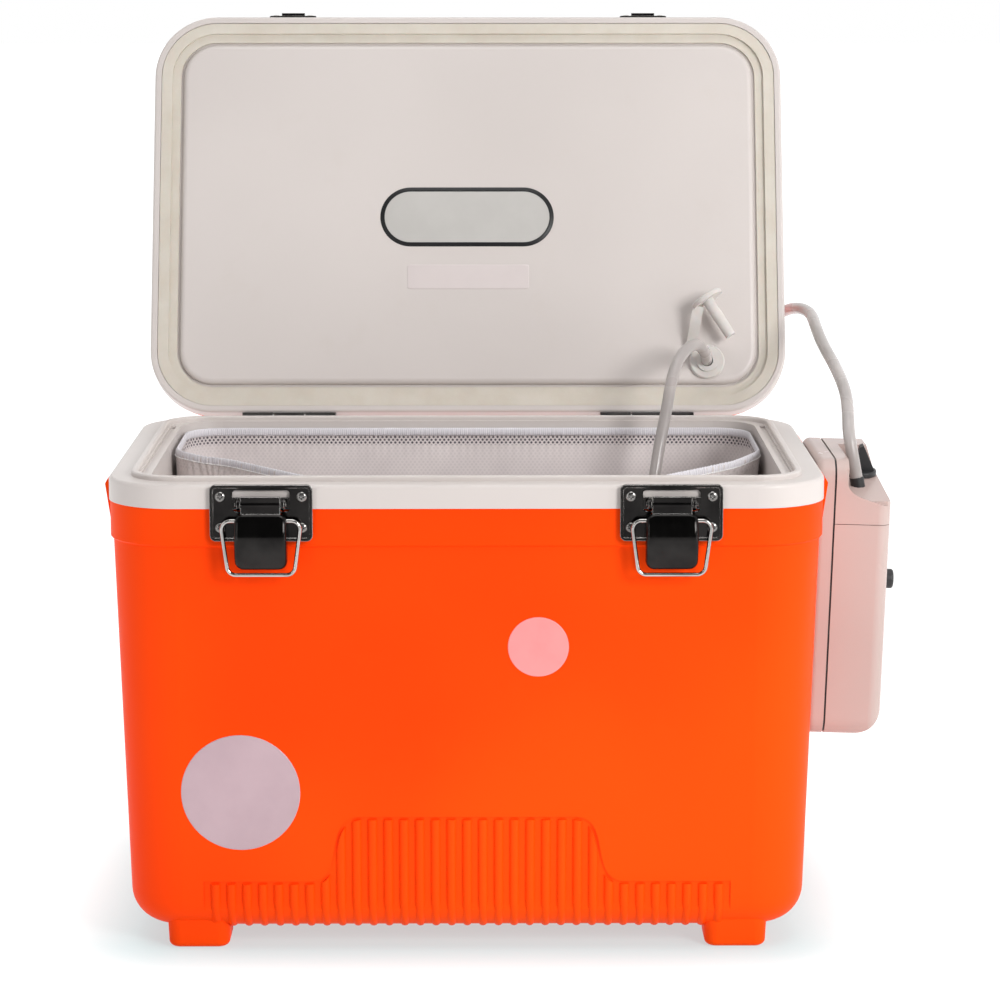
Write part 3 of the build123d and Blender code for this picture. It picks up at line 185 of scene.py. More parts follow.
# moulded plastic: fine grain, slow waviness, slight wear and dust
def moulded(name, look):
    g = Graph(name, Specular_IOR_Level=look.get("shine", 0.45), Coat_Roughness=look["coatRough"])
    slow = g.noise(look["slowScale"], 2.0, 0.4)
    patch = g.noise(34.0, 5.0, 0.6)
    grain = g.noise(look["grainScale"], 2.0, 0.5)
    dust = g.spread(patch, 0.56, 0.78) * look["dust"]
    shade = g.mix(g.spread(slow, 0.3, 0.7), look["dark"], look["light"])
    g.put("Base Color", g.mix(dust, shade, look["dustTint"]))
    g.put("Roughness", look["rough"] + (patch - 0.5) * 0.12 + dust * 0.25)
    g.put("Coat Weight", g.spread(patch, 0.35, 0.65, look["coat"], look["coat"] * 0.8))
    wavy = g.bump(slow, look["wavy"], 0.004)
    g.put("Normal", g.bump(grain, look["grain"], 0.0002, wavy))
    return g


# camera
camera = {"lens": 117.1, "place": (0.00713, -1.70807, 0.50729), "down": 9.715, "right": 0.343}
cameraData = bpy.data.cameras.new("camera")
cameraData.lens = camera["lens"]
cameraData.sensor_width = 36.0
cameraObject = placed("camera", cameraData)
cameraObject.location = camera["place"]
cameraObject.rotation_euler = (math.radians(90 - camera["down"]), 0, math.radians(-camera["right"]))
bpy.context.scene.camera = cameraObject
print("camera ready")

# box, lid and collar plastics
orangeLook = {
    "dark": (0.94, 0.050, 0.001), "light": (1.0, 0.074, 0.002), "dustTint": (0.98, 0.12, 0.01),
    "slowScale": 5.0, "grainScale": 900.0, "rough": 0.45, "coatRough": 0.28, "coat": 0.0,
    "wavy": 0.05, "grain": 0.12, "dust": 0.05, "shine": 0.05,
}
whiteLook = {
    "dark": linear(201, 193, 189), "light": linear(209, 201, 197), "dustTint": linear(190, 178, 166),
    "slowScale": 6.0, "grainScale": 700.0, "rough": 0.36, "coatRough": 0.25, "coat": 0.08,
    "wavy": 0.05, "grain": 0.10, "dust": 0.10, "shine": 0.4,
}
# the pump's pink tint is partly its own colour and partly painted orange bounce from the box
pumpLook = {
    "dark": linear(184, 163, 157), "light": linear(191, 171, 165), "dustTint": linear(180, 160, 154),
    "slowScale": 9.0, "grainScale": 800.0, "rough": 0.25, "coatRough": 0.12, "coat": 0.03,
    "wavy": 0.04, "grain": 0.05, "dust": 0.06, "shine": 0.20,
}
blackLook = {
    "dark": (0.012, 0.012, 0.013), "light": (0.022, 0.022, 0.024), "dustTint": (0.12, 0.11, 0.10),
    "slowScale": 20.0, "grainScale": 900.0, "rough": 0.45, "coatRough": 0.3, "coat": 0.05,
    "wavy": 0.03, "grain": 0.2, "dust": 0.08,
}
foamLook = {
    "dark": linear(226, 216, 180), "light": linear(240, 232, 202), "dustTint": linear(200, 184, 140),
    "slowScale": 30.0, "grainScale": 420.0, "rough": 0.9, "coatRough": 0.6, "coat": 0.0,
    "wavy": 0.2, "grain": 0.8, "dust": 0.3,
}
dress(["outer_shell", "lid_outer_shell"], moulded("orangePlastic", orangeLook))
dress(["tub_liner", "lid_inner_tray"], moulded("whitePlastic", whiteLook))
pumpPieces = ["pump_rear_shell", "pump_cap", "pump_cover", "pump_bracket"]
dress(pumpPieces, moulded("pumpPlastic", pumpLook))
blackPieces = ["pump_seal", "air_nozzle", "selector_knob", "side_button"]
blackPieces += ["battery_cradle", "pump_head", "rotary_switch"]
dress(blackPieces, moulded("blackPlastic", blackLook))
dress(["foam_insulation", "lid_foam"], moulded("paleFoam", foamLook))
crankLook = dict(whiteLook, rough=0.3, coat=0.2)
dress(["eccentric", "rocker"], moulded("crankPlastic", crankLook))
print("plastics ready")


# soft rubber: gasket, grommet and plug
def rubbery(name, look):
    g = Graph(name, Specular_IOR_Level=0.35)
    patch = g.noise(60.0, 4.0, 0.6)
    fine = g.noise(1200.0, 2.0, 0.5)
    g.put("Base Color", g.mix(g.spread(patch, 0.2, 0.85), look["light"], look["dark"]))
    g.put("Roughness", look["rough"] + (patch - 0.5) * 0.2)
    g.put("Normal", g.bump(fine + patch * 0.3, 0.12, 0.0002))
    g.put("Subsurface Weight", look["glow"])
    g.put("Subsurface Scale", 0.003)
    return g


gasketLook = {"light": linear(206, 199, 188), "dark": linear(197, 188, 175), "rough": 0.55, "glow": 0.06}
siliconeLook = {"light": linear(214, 209, 205), "dark": linear(200, 195, 190), "rough": 0.3, "glow": 0.12}
dress(["lid_gasket"], rubbery("creamGasket", gasketLook))
dress(["port_grommet", "port_plug"], rubbery("paleSilicone", siliconeLook))


# metals
def metal(name, look):
    g = Graph(name, Metallic=1.0, Specular_IOR_Level=0.5)
    place = g.node("ShaderNodeMapping", None, {"Vector": g.place(), "Scale": look["stretch"]})
    brush = g.noise(look["scale"], 4.0, 0.65, place)
    cloud = g.noise(45.0, 4.0, 0.6)
    # painted highlight: the colour is brightened towards a pale grey along bevelled edges, where the plating turns
    # over an edge, standing in for the lamps' reflections there
    edge = g.node("ShaderNodeBevel", None, {"Radius": look["edge"]})
    face = g.node("ShaderNodeNewGeometry", out="Normal")
    dot = g.node("ShaderNodeVectorMath", {"operation": "DOT_PRODUCT"}, {0: edge, 1: face}, out="Value")
    plain = g.mix(g.spread(cloud, 0.35, 0.75), look["light"], look["dark"])
    g.put("Base Color", g.mix(g.spread(dot, 0.98, 0.80) * look["rim"], plain, (0.62, 0.60, 0.58)))
    g.put("Roughness", g.spread(brush, 0.2, 0.8, look["rough"] - 0.05, look["rough"] + 0.09) + (cloud - 0.5) * 0.1)
    g.put("Normal", g.bump(brush, look["bump"], 0.0001, edge))
    return g


# rim sets how strongly the painted edge highlight brightens the colour; edge is the bevel radius that finds those
# edges and rounds their shading
nickelLook = {
    "light": (0.032, 0.030, 0.029), "dark": (0.016, 0.015, 0.015), "rough": 0.11,
    "scale": 260.0, "stretch": (1.0, 1.0, 0.15), "bump": 0.05, "edge": 0.0007, "rim": 0.75,
}
wireLook = {
    "light": (0.56, 0.54, 0.52), "dark": (0.36, 0.35, 0.34), "rough": 0.12,
    "scale": 300.0, "stretch": (0.3, 1.0, 1.0), "bump": 0.05, "edge": 0.0002, "rim": 0.1,
}
steelLook = {
    "light": (0.60, 0.59, 0.57), "dark": (0.38, 0.37, 0.36), "rough": 0.3,
    "scale": 400.0, "stretch": (1.0, 1.0, 1.0), "bump": 0.08, "edge": 0.0003, "rim": 0.3,
}
sides = ("left", "right")
nickel = metal("blackNickel", nickelLook)
platedNames = ("latch_plate", "latch_pin", "latch_lever", "keeper", "hinge_body_leaf", "hinge_lid_leaf")
dress([f"{side}_{name}" for side in sides for name in platedNames], nickel)
dress([f"{side}_latch_bail" for side in sides], metal("brightWire", wireLook))
steelNames = ["motor", "contact_springs", "contact_plate", "button_spring", "left_hinge_pin", "right_hinge_pin"]
steelNames += ["hinge_body_screws", "hinge_lid_screws", "keeper_screws", "bracket_screws"]
dress(steelNames, metal("brightSteel", steelLook))
screwLook = {
    "light": (0.30, 0.29, 0.28), "dark": (0.14, 0.135, 0.13), "rough": 0.14,
    "scale": 500.0, "stretch": (1.0, 1.0, 1.0), "bump": 0.05, "edge": 0.0003, "rim": 0.5,
}
dress(["latch_screws"], metal("platedScrew", screwLook))
print("metals ready")


# screw heads: a low dome with a cross recess, set on the plain heads of the latch screws
screw = {
    "radius": 0.00205, "dome": 0.00034, "recess": 0.0005, "slot": 0.13, "reach": 0.62,
    "latchX": 0.1018, "across": 0.0202, "drops": (0.0056, 0.0212), "rimZ": 0.2426, "rows": 14, "columns": 40,
}


def screwHead(mesh, spot, right, up):
    away = right.cross(up)
    radius, rows, columns = screw["radius"], screw["rows"], screw["columns"]
    reach = radius * screw["reach"]
    made = []
    for r in range(rows + 1):
        share = r / rows
        for c in range(columns):
            angle = 2 * math.pi * c / columns
            x, y = math.cos(angle) * radius * share, math.sin(angle) * radius * share
            height = screw["dome"] * (1 - share ** 4) + 0.00002
            near, far = sorted((abs(x), abs(y)))
            if near < radius * screw["slot"] and far < reach:
                height -= screw["recess"] * (1 - 0.55 * far / reach)
            made.append(mesh.verts.new(spot + right * x + up * y + away * height))
    for r in range(1, rows):
        for c in range(columns):
            a, b = r * columns + c, r * columns + (c + 1) % columns
            mesh.faces.new((made[a], made[b], made[b + columns], made[a + columns]))
    mesh.faces.new([made[columns + c] for c in range(columns)])
    for v in made[:columns]:
        mesh.verts.remove(v)
    mesh.faces.ensure_lookup_table()
    # painted shade: the cross recess gets the darker nickel so that it reads as shaded
    for face in mesh.faces[-((rows - 1) * columns + 1):]:
        off = face.calc_center_median() - spot
        near, far = sorted((abs(off.dot(right)), abs(off.dot(up))))
        face.material_index = 1 if near < radius * 0.15 and far < reach else 0


heads = bmesh.new()
for side in (-1, 1):
    for way in (-1, 1):
        for drop in screw["drops"]:
            place = Vector((side * screw["latchX"] + way * screw["across"], -0.17, screw["rimZ"] - drop))
            found, where, normal, index = nodes["latch_screws"].ray_cast(place, Vector((0, 1, 0)), distance=0.1)
            if found:
                screwHead(heads, where + Vector((0, -0.00002, 0)), Vector((1, 0, 0)), Vector((0, 0, 1)))
screwMesh = bpy.data.meshes.new("latchScrewHeads")
heads.to_mesh(screwMesh)
heads.free()
smoothed(screwMesh)
screwHeads = placed("latchScrewHeads", screwMesh)
screwMesh.materials.append(nodes["latch_screws"].data.materials[0])
screwMesh.materials.append(nickel.material)
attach(screwHeads, "tub")
print("screw heads ready")

# cells, board and stone
cell = Graph("cellJacket", Specular_IOR_Level=0.5, Roughness=0.3)
across, along, up = cell.parts(cell.place())
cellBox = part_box("left_battery_cell")
ringHeight = cellBox[1][2] - 0.013
band = cell.spread(up, ringHeight - 0.0002, ringHeight + 0.0002)
worn = cell.noise(120.0, 4.0, 0.6)
jacket = cell.mix(band, (0.03, 0.032, 0.036), (0.52, 0.26, 0.05))
cell.put("Base Color", cell.mix(cell.spread(worn, 0.6, 0.8) * 0.3, jacket, (0.3, 0.3, 0.3)))
cell.put("Metallic", band * 0.6)
dress(["left_battery_cell", "right_battery_cell"], cell)

board = Graph("circuitBoard", Roughness=0.35)
cells = board.node("ShaderNodeTexVoronoi", {"feature": "F1"}, {"Vector": board.place(), "Scale": 420.0})
pads = cells < 0.16
board.put("Base Color", board.mix(pads, (0.01, 0.11, 0.03), (0.62, 0.6, 0.52)))
board.put("Metallic", pads * 0.9)
dress(["circuit_board"], board)

stone = Graph("airStone", Roughness=0.95)
pores = stone.node("ShaderNodeTexVoronoi", {"feature": "F1"}, {"Vector": stone.place(), "Scale": 900.0})
grit = stone.noise(1500.0, 3.0, 0.7)
stone.put("Base Color", stone.mix(stone.spread(pores, 0.1, 0.5), (0.10, 0.12, 0.15), (0.30, 0.34, 0.40)))
stone.put("Normal", stone.bump(grit + pores, 0.9, 0.0006))
dress(["air_stone"], stone)

# net: a knitted bag hung from a gathered hem
def smooth(value, low, high):
    share = min(max((value - low) / (high - low), 0.0), 1.0)
    return share * share * (3 - 2 * share)


def roundedReach(angle, halfX, halfY, corner):
    # how far a rounded rectangle reaches from its middle in one direction
    across, deep = abs(math.cos(angle)), abs(math.sin(angle))
    reach = min(halfX / max(across, 1e-9), halfY / max(deep, 1e-9))
    spot = Vector((across * reach - halfX + corner, deep * reach - halfY + corner))
    if spot.x > 0 and spot.y > 0:
        centre = Vector((halfX - corner, halfY - corner))
        along = across * centre.x + deep * centre.y
        reach = along + math.sqrt(max(corner * corner - centre.length_squared + along * along, 0.0))
    return reach


net = {
    "columns": 960, "halfX": 0.1574, "halfY": 0.0990, "corner": 0.020, "slope": math.tan(math.radians(1.8)),
    "top": 0.2392, "hemTall": 0.0044, "hemThick": 0.0009, "low": 0.0380, "lowRound": 0.010, "pleat": 0.0026,
    # how far down the cloth gathers, and how far its pleats and folds stand in
    "gather": 0.052, "edgeRun": 0.02, "pleatIn": 0.0011, "foldIn": 0.0014, "slackIn": 0.0052,
    # the hem's droop where it hangs free, and the stitches along it
    "hemDroop": 0.0012, "hemColumns": 1560, "hemSides": 12, "stitches": 460,
    "stitchShare": 0.78, "stitchThick": 0.00028, "stitchLift": 0.00022, "stitchLow": 0.36,
    "front": [
        (0.190, 0.050), (0.1560, 0.012), (0.1440, -0.010), (0.1210, -0.038), (0.1070, -0.054),
        (0.0950, -0.072), (0.0720, -0.081), (0.0200, -0.083), (-0.0400, -0.081), (-0.0720, -0.0755),
        (-0.1050, -0.0340), (-0.1280, -0.0040), (-0.1480, 0.0080), (-0.190, 0.050),
    ],
}


def frontReach(angle):
    # where the drawn-in front of the mouth crosses one direction
    way = Vector((math.cos(angle), math.sin(angle)))
    for first, last in zip(net["front"], net["front"][1:]):
        start, run = Vector(first), Vector(last) - Vector(first)
        cross = way.x * run.y - way.y * run.x
        if abs(cross) < 1e-9:
            continue
        reach = (start.x * run.y - start.y * run.x) / cross
        share = (start.x * way.y - start.y * way.x) / cross
        if reach > 0 and 0 <= share <= 1:
            return reach
    return 1.0


def mouthReach(angle):
    wall = roundedReach(angle, net["halfX"], net["halfY"], net["corner"])
    # averaged over nearby directions, so that the cloth turns softly
    cut = [min(frontReach(angle + step * 0.012), wall) for step in range(-4, 5)]
    return min(sum(cut) / len(cut), wall)


step = 2 * math.pi / 6000
spokes = [i * step for i in range(6000)]
edge = [Vector((math.cos(a), math.sin(a))) * mouthReach(a) for a in spokes]
runs = [0.0]
for here, following in zip(edge, edge[1:] + edge[:1]):
    runs.append(runs[-1] + (following - here).length)


def evenAngles(count):
    # directions that part the mouth into equal lengths
    made, at = [], 0
    for i in range(count):
        goal = runs[-1] * i / count
        while runs[at + 1] < goal:
            at += 1
        made.append(spokes[at] + step * (goal - runs[at]) / (runs[at + 1] - runs[at]))
    return made


def mouthSlack(angle):
    # 0 where the mouth hugs the wall, 1 where it hangs free of it
    wall = roundedReach(angle, net["halfX"], net["halfY"], net["corner"])
    return smooth(wall - mouthReach(angle), 0.001, 0.02)


def netPoint(angle, along, height, drop):
    # a point of the cloth on one direction, at a height and at a run of cloth below the hem
    inset = (net["top"] - height) * net["slope"]
    wall = roundedReach(angle, net["halfX"] - inset, net["halfY"] - inset, net["corner"])
    gather = smooth(drop, 0.0, net["gather"])
    reach = mouthReach(angle) * (1 - gather) + wall * gather
    slack = smooth(wall - mouthReach(angle), 0.001, 0.02)
    stray = 2.0 * noise.noise(Vector((along * 60, 0, 3)))
    pleat = 0.5 + 0.5 * math.sin(2 * math.pi * along / (1.7 * net["pleat"]) + stray)
    folds = noise.noise(Vector((along * 26, drop * 5, 1.7))) + 0.5 * noise.noise(Vector((along * 70, drop * 14, 5.1)))
    pastEdge = smooth(drop, 0.0, net["edgeRun"])
    loose = net["slackIn"] * slack * (1 - smooth(drop, 0.05, 0.15))
    reach -= pleat * net["pleatIn"] * (1 - pastEdge) * (0.35 + slack)
    reach -= (net["foldIn"] + loose) * pastEdge * (0.75 + folds)
    return Vector((math.cos(angle) * reach, math.sin(angle) * reach, height))


def looped(name, rings, spread, capped=False):
    # closed rings of points joined by faces, with the cloth's own measure as its UV map
    mesh = bpy.data.meshes.new(name)
    count = len(rings[0])
    faces = [
        (r * count + i, (r + 1) * count + i, (r + 1) * count + (i + 1) % count, r * count + (i + 1) % count)
        for r in range(len(rings) - 1)
        for i in range(count)
    ]
    if capped:
        faces.append(tuple((len(rings) - 1) * count + i for i in range(count)))
    mesh.from_pydata([p for ring in rings for p in ring], [], faces)
    layer = mesh.uv_layers.new(name="weave")
    for face in mesh.polygons:
        face.use_smooth = True
        for corner in face.loop_indices:
            row, column = divmod(mesh.loops[corner].vertex_index, count)
            wraps = column == 0 and face.index % count == count - 1
            layer.data[corner].uv = spread(row, column + (count if wraps else 0))
    bm = bmesh.new()
    bm.from_mesh(mesh)
    bmesh.ops.recalc_face_normals(bm, faces=bm.faces)
    bm.to_mesh(mesh)
    bm.free()
    return placed(name, mesh)


angles = evenAngles(net["columns"])
alongs = [runs[-1] * i / net["columns"] for i in range(net["columns"])]
hemMiddle = net["top"] - net["hemTall"] / 2
levels = [hemMiddle - d for d in (0, 0.0015, 0.003, 0.0045, 0.006, 0.008, 0.010, 0.0125, 0.015)]
levels += [hemMiddle - 0.018 - 0.0055 * i for i in range(11)]
levels += [hemMiddle - 0.080 - 0.012 * i for i in range(9)]
rings = [[netPoint(a, s, z, hemMiddle - z) for a, s in zip(angles, alongs)] for z in levels]
drops = [hemMiddle - z for z in levels]
# round the bottom edge, then across the floor to the middle
for turn in (20, 40, 60, 78):
    bend = math.radians(turn)
    height = net["low"] + net["lowRound"] * (1 - math.sin(bend))
    inward = net["lowRound"] * (1 - math.cos(bend))
    ring = []
    for a, s in zip(angles, alongs):
        spot = netPoint(a, s, height, hemMiddle - height)
        ring.append(spot * ((spot.xy.length - inward) / spot.xy.length))
        ring[-1].z = height
    rings.append(ring)
    drops.append(drops[-1] + net["lowRound"] * math.radians(20))
rim = rings[-1]
for share in (0.96, 0.9, 0.82, 0.72, 0.6, 0.46, 0.3, 0.12):
    ring = []
    for spot in rim:
        x, y = spot.x * share, spot.y * share
        ripple = noise.noise(Vector((x * 40, y * 40, 2.2))) + 0.5 * noise.noise(Vector((x * 110, y * 110, 4.0)))
        ring.append(Vector((x, y, net["low"] + 0.0006 * ripple - 0.0012 * (1 - share))))
    rings.append(ring)
    drops.append(drops[-1] + 0.1 * (1 - share) * 0.3)


def netWeave(row, column):
    if row < len(levels):
        return (runs[-1] * column / net["columns"], drops[row])
    spot = rings[row][column % net["columns"]]
    return (spot.x, spot.y)


netCloth = looped("netCloth", rings, netWeave, capped=True)

hemSides = net["hemSides"]
hemAngles = evenAngles(net["hemColumns"])
hemRings = []
for k in range(hemSides + 1):
    turn = 2 * math.pi * k / hemSides
    ring = []
    for i, a in enumerate(hemAngles):
        along = runs[-1] * i / len(hemAngles)
        slack = mouthSlack(a)
        puff = math.sin(2 * math.pi * along / net["pleat"] + 1.5 * noise.noise(Vector((along * 90, 0, 8))))
        thick = net["hemThick"] + (0.00012 + 0.00022 * slack) * puff
        sway = 0.0007 * slack * noise.noise(Vector((along * 55, 0, 11)))
        reach = mouthReach(a) - net["hemThick"] + thick * math.cos(turn) + sway
        height = hemMiddle + (net["hemTall"] / 2 - 0.0002 * slack * puff) * math.sin(turn) - net["hemDroop"] * slack
        ring.append(Vector((math.cos(a) * reach, math.sin(a) * reach, height)))
    hemRings.append(ring)
netHem = looped("netHem", hemRings, lambda row, column: (runs[-1] * column / len(hemAngles), row * 0.0012))

stitchMesh = bpy.data.meshes.new("netStitches")
bm = bmesh.new()
stitchAngles = evenAngles(net["stitches"])
for i, a in enumerate(stitchAngles):
    end = stitchAngles[(i + 1) % len(stitchAngles)] + (2 * math.pi if i + 1 == len(stitchAngles) else 0)
    low = hemMiddle - net["hemTall"] * net["stitchLow"] - net["hemDroop"] * mouthSlack(a)
    rows = []
    for part in range(5):
        b = a + (end - a) * net["stitchShare"] * part / 4
        lift = net["stitchLift"] * math.sin(math.pi * part / 4)
        middle = Vector((math.cos(b), math.sin(b))) * (mouthReach(b) + 0.0001 + lift)
        row = []
        for k in range(6):
            turn = math.pi * k / 3
            reach = middle.length + net["stitchThick"] * math.cos(turn)
            height = low + net["stitchThick"] * math.sin(turn)
            row.append(bm.verts.new((math.cos(b) * reach, math.sin(b) * reach, height)))
        rows.append(row)
    for first, last in zip(rows, rows[1:]):
        for k in range(6):
            bm.faces.new((first[k], last[k], last[(k + 1) % 6], first[(k + 1) % 6]))
    bm.faces.new(rows[0])
    bm.faces.new(reversed(rows[-1]))
bm.to_mesh(stitchMesh)
bm.free()
smoothed(stitchMesh)
netStitches = placed("netStitches", stitchMesh)

# knitted mesh: round holes on a hexagonal grid, opener near the hem and towards the back, where the holes are painted
# dark as the shade behind the net
mesh = Graph("netMesh", Specular_IOR_Level=0.3, Sheen_Weight=0.25, Sheen_Roughness=0.4)
across, down, none = mesh.parts(mesh.node("ShaderNodeUVMap", {"uv_map": "weave"}))
pitch, rise = 0.0024, 0.0031


def latticeGap(shift):
    x = ((across / pitch + shift).math("FRACT") - 0.5).math("ABSOLUTE")
    y = ((down / rise + shift).math("FRACT") - 0.5) * (rise / pitch)
    return (x * x + y * y).math("SQRT")


gap = latticeGap(0.0).math("MINIMUM", latticeGap(0.5))
hole = mesh.spread(gap, 0.20, 0.34, 1.0, 0.0)
sideX, sideY, height = mesh.parts(mesh.place())
soft = mesh.noise(26.0, 3.0, 0.5)
openShadedRows = mesh.spread(height + soft * 0.001, 0.2296, 0.2310, 0.08, 1.0) * mesh.spread(sideY, 0.01, 0.06, 0.1, 1.0)
mesh.put("Alpha", 1.0 - hole * openShadedRows * 0.3)
thread = mesh.noise(2600.0, 2.0, 0.6)
cloth = mesh.mix(mesh.spread(soft + gap * 0.1, 0.3, 0.8), linear(207, 198, 197), linear(224, 215, 213))
# painted shade: in those rows the holes are coloured dark for the shadow behind the cloth
mesh.put("Base Color", mesh.mix(hole * openShadedRows, cloth, linear(104, 96, 104)))
mesh.put("Roughness", 0.75 + (soft - 0.5) * 0.2)
mesh.put("Normal", mesh.bump(thread * 0.3 - hole * openShadedRows, 0.4, 0.0003))
netCloth.data.materials.append(mesh.material)

knit = Graph("netKnit", Roughness=0.8, Sheen_Weight=0.3, Sheen_Roughness=0.4)
across, down, none = knit.parts(knit.node("ShaderNodeUVMap", {"uv_map": "weave"}))
rib = (across * (2 * math.pi / 0.0011)).math("SINE") * 0.5 + 0.5
row = (down * (2 * math.pi / 0.0006)).math("SINE") * 0.5 + 0.5
worn = knit.noise(60.0, 4.0, 0.6)
knit.put("Base Color", knit.mix(rib * 0.7 + worn * 0.3, linear(208, 205, 211), linear(232, 228, 232)))
knit.put("Normal", knit.bump(rib + row * 0.4, 0.6, 0.0003))
netHem.data.materials.append(knit.material)

sewing = Graph("whiteThread", Roughness=0.6)
twist = sewing.noise(3000.0, 2.0, 0.5)
sewing.put("Base Color", sewing.mix(twist, linear(232, 230, 230), linear(250, 249, 248)))
sewing.put("Normal", sewing.bump(twist, 0.6, 0.0002))
stitchMesh.materials.append(sewing.material)

for piece in (netCloth, netHem, netStitches):
    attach(piece, "tub")
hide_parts("net_liner")
print("net ready")

# bare places for labels and stickers, and the lid's own frame: it leans back about the line lidFoot
lidLean = math.radians(20.0)
lidFoot = Vector((0, 0.12025, 0.2426))
lidUp = Vector((0, math.sin(lidLean), math.cos(lidLean)))
lidBack = Vector((0, math.cos(lidLean), -math.sin(lidLean)))


def sticker(name, spot, right, up, half, corner, target, looks, rims=(0.0,)):
    # a thin film pressed on a CAD surface; rims are widths of the printed edge bands
    away = right.cross(up)
    count = 288
    insets = [0.0, 0.00008] + [rim for rim in rims if rim] + [max(rims) + 0.0006]
    rings = []
    for n, inset in enumerate(insets):
        ring = []
        for i in range(count):
            angle = 2 * math.pi * i / count
            reach = roundedReach(angle, half[0] - inset, half[1] - inset, max(corner - inset, 0.0002))
            at = spot + right * math.cos(angle) * reach + up * math.sin(angle) * reach
            found, where, normal, index = nodes[target].ray_cast(at + away * 0.02, -away, distance=0.04)
            ring.append((where if found else at) + away * (0.00002 if n == 0 else 0.00016))
        rings.append(ring)
    made = looped(name, rings, lambda row, column: (column / count, row), capped=True)
    if made.data.polygons[-1].normal.dot(away) < 0:
        made.data.flip_normals()
    made.data.polygons[-1].use_smooth = False
    for look in looks:
        made.data.materials.append(look.material)
    if len(looks) > 1:
        for face in made.data.polygons:
            face.material_index = 0 if face.index < 2 * count else 1
    return made


def film(name, light, dark, rough):
    g = Graph(name, Specular_IOR_Level=0.3)
    cloud = g.noise(30.0, 4.0, 0.6)
    fine = g.noise(1400.0, 2.0, 0.5)
    g.put("Base Color", g.mix(g.spread(cloud, 0.3, 0.75), light, dark))
    g.put("Roughness", rough + (cloud - 0.5) * 0.15)
    g.put("Normal", g.bump(fine, 0.08, 0.0001))
    return g


greyFilm = film("greyFilm", linear(187, 162, 169), linear(179, 155, 162), 0.4)
pinkFilm = film("pinkFilm", linear(240, 148, 147), linear(234, 138, 137), 0.4)
paperFilm = film("paperFilm", linear(191, 188, 184), linear(185, 182, 178), 0.35)
faintFilm = film("faintFilm", linear(210, 200, 198), linear(206, 196, 194), 0.35)
inkFilm = film("inkFilm", (0.008, 0.008, 0.009), (0.014, 0.014, 0.015), 0.35)
wallRight, wallUp = Vector((1, 0, 0)), Vector((0, 0, 1))
wallStickers = {
    "roundSticker": {"spot": (-0.1144, -0.111, 0.0840), "radius": 0.0301, "look": greyFilm},
    "roundBadge": {"spot": (0.0359, -0.113, 0.1597), "radius": 0.0153, "look": pinkFilm},
}
lidStickers = {
    "lidLabel": {
        "across": -0.0006, "rise": 0.1169, "half": (0.0498, 0.0175), "corner": 0.0175,
        "looks": [inkFilm, paperFilm], "rims": (0.0025,),
    },
    "lidNote": {
        "across": 0.0, "rise": 0.0815, "half": (0.0348, 0.0072), "corner": 0.0008,
        "looks": [faintFilm], "rims": (0.0,),
    },
}
for name, label in wallStickers.items():
    half = (label["radius"], label["radius"])
    made = sticker(name, Vector(label["spot"]), wallRight, wallUp, half, half[0], "outer_shell", [label["look"]])
    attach(made, "tub")
for name, label in lidStickers.items():
    spot = lidFoot + lidUp * label["rise"] + wallRight * label["across"]
    made = sticker(
        name, spot, wallRight, lidUp, label["half"], label["corner"],
        "lid_inner_tray", label["looks"], rims=label["rims"],
    )
    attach(made, "lid")
print("labels ready")

# airlines
def portPoint(out):
    # a point on the port's axis, at a distance outwards from the lid's mating face
    return Vector((tube["portX"], lidFoot.y, lidFoot.z)) + lidUp * tube["portRise"] + lidBack * out


tube = {
    "radius": 0.00325, "portX": 0.136, "portRise": 0.0315,
    # where the hoses start in the port and leave it, outwards along its axis, and the same above the nozzle's seat
    "inPort": 0.014, "pastPort": 0.0462, "insideLid": -0.0132, "aboveNozzle": 0.0165, "onNozzle": 0.0045,
    "tubEnd": (0.099, 0.048, 0.195),  # a point on the inner hose's route; the script reads it but does nothing more with it
    "outer": [
        (0.150, 0.193, 0.2685), (0.1697, 0.193, 0.285),
        (0.1839, 0.176, 0.2968), (0.1902, 0.152, 0.301), (0.1946, 0.127, 0.3006),
        (0.195, 0.102, 0.2946), (0.1964, 0.078, 0.2882), (0.2002, 0.044, 0.2798),
        (0.2023, 0.014, 0.271), (0.2016, -0.0045, 0.262), (0.2009, -0.0135, 0.2535),
    ],
    "inner": [
        (0.1284, 0.1015, 0.2874), (0.1184, 0.086, 0.2826),
        (0.1128, 0.0765, 0.2702), (0.1096, 0.068, 0.2532), (0.1044, 0.057, 0.231),
        (0.099, 0.048, 0.195), (0.095, 0.042, 0.145), (0.092, 0.040, 0.100), (0.092, 0.040, 0.0646),
    ],
}
# the last stretch of the outer hose goes down the nozzle's axis, over the pump case's back foot and sloping cap
pump = {
    "wallLean": math.radians(1.8), "nozzleLean": math.radians(9.0), "capSlope": math.radians(8.0),
    "tall": 0.1464, "scoop": 0.0124, "nozzleIn": 0.015 + 0.0175, "nozzleOut": 0.0246, "nozzleY": -0.0175,
    "footZ": 0.0968, "endX": 0.181 + 0.0009, "rimZ": 0.2426,
}
wallLean = pump["wallLean"]
floorHeight = pump["tall"] - pump["scoop"] - pump["nozzleIn"] * math.tan(pump["capSlope"])
backX = pump["endX"] - (pump["rimZ"] - pump["footZ"]) * math.tan(wallLean)
seat = Vector((backX, pump["nozzleY"], pump["footZ"]))
seat += Vector((math.cos(wallLean), 0, -math.sin(wallLean))) * pump["nozzleOut"]
seat += Vector((math.sin(wallLean), 0, math.cos(wallLean))) * floorHeight
nozzleLean = pump["nozzleLean"] + wallLean
nozzleAxis = Vector((-math.sin(nozzleLean), 0, math.cos(nozzleLean)))
tube["outer"] = [portPoint(tube["inPort"]), portPoint(tube["pastPort"]), *tube["outer"]]
tube["outer"] += [seat + nozzleAxis * tube["aboveNozzle"], seat + nozzleAxis * tube["onNozzle"]]
tube["inner"] = [portPoint(tube["inPort"]), portPoint(tube["insideLid"]), *tube["inner"]]


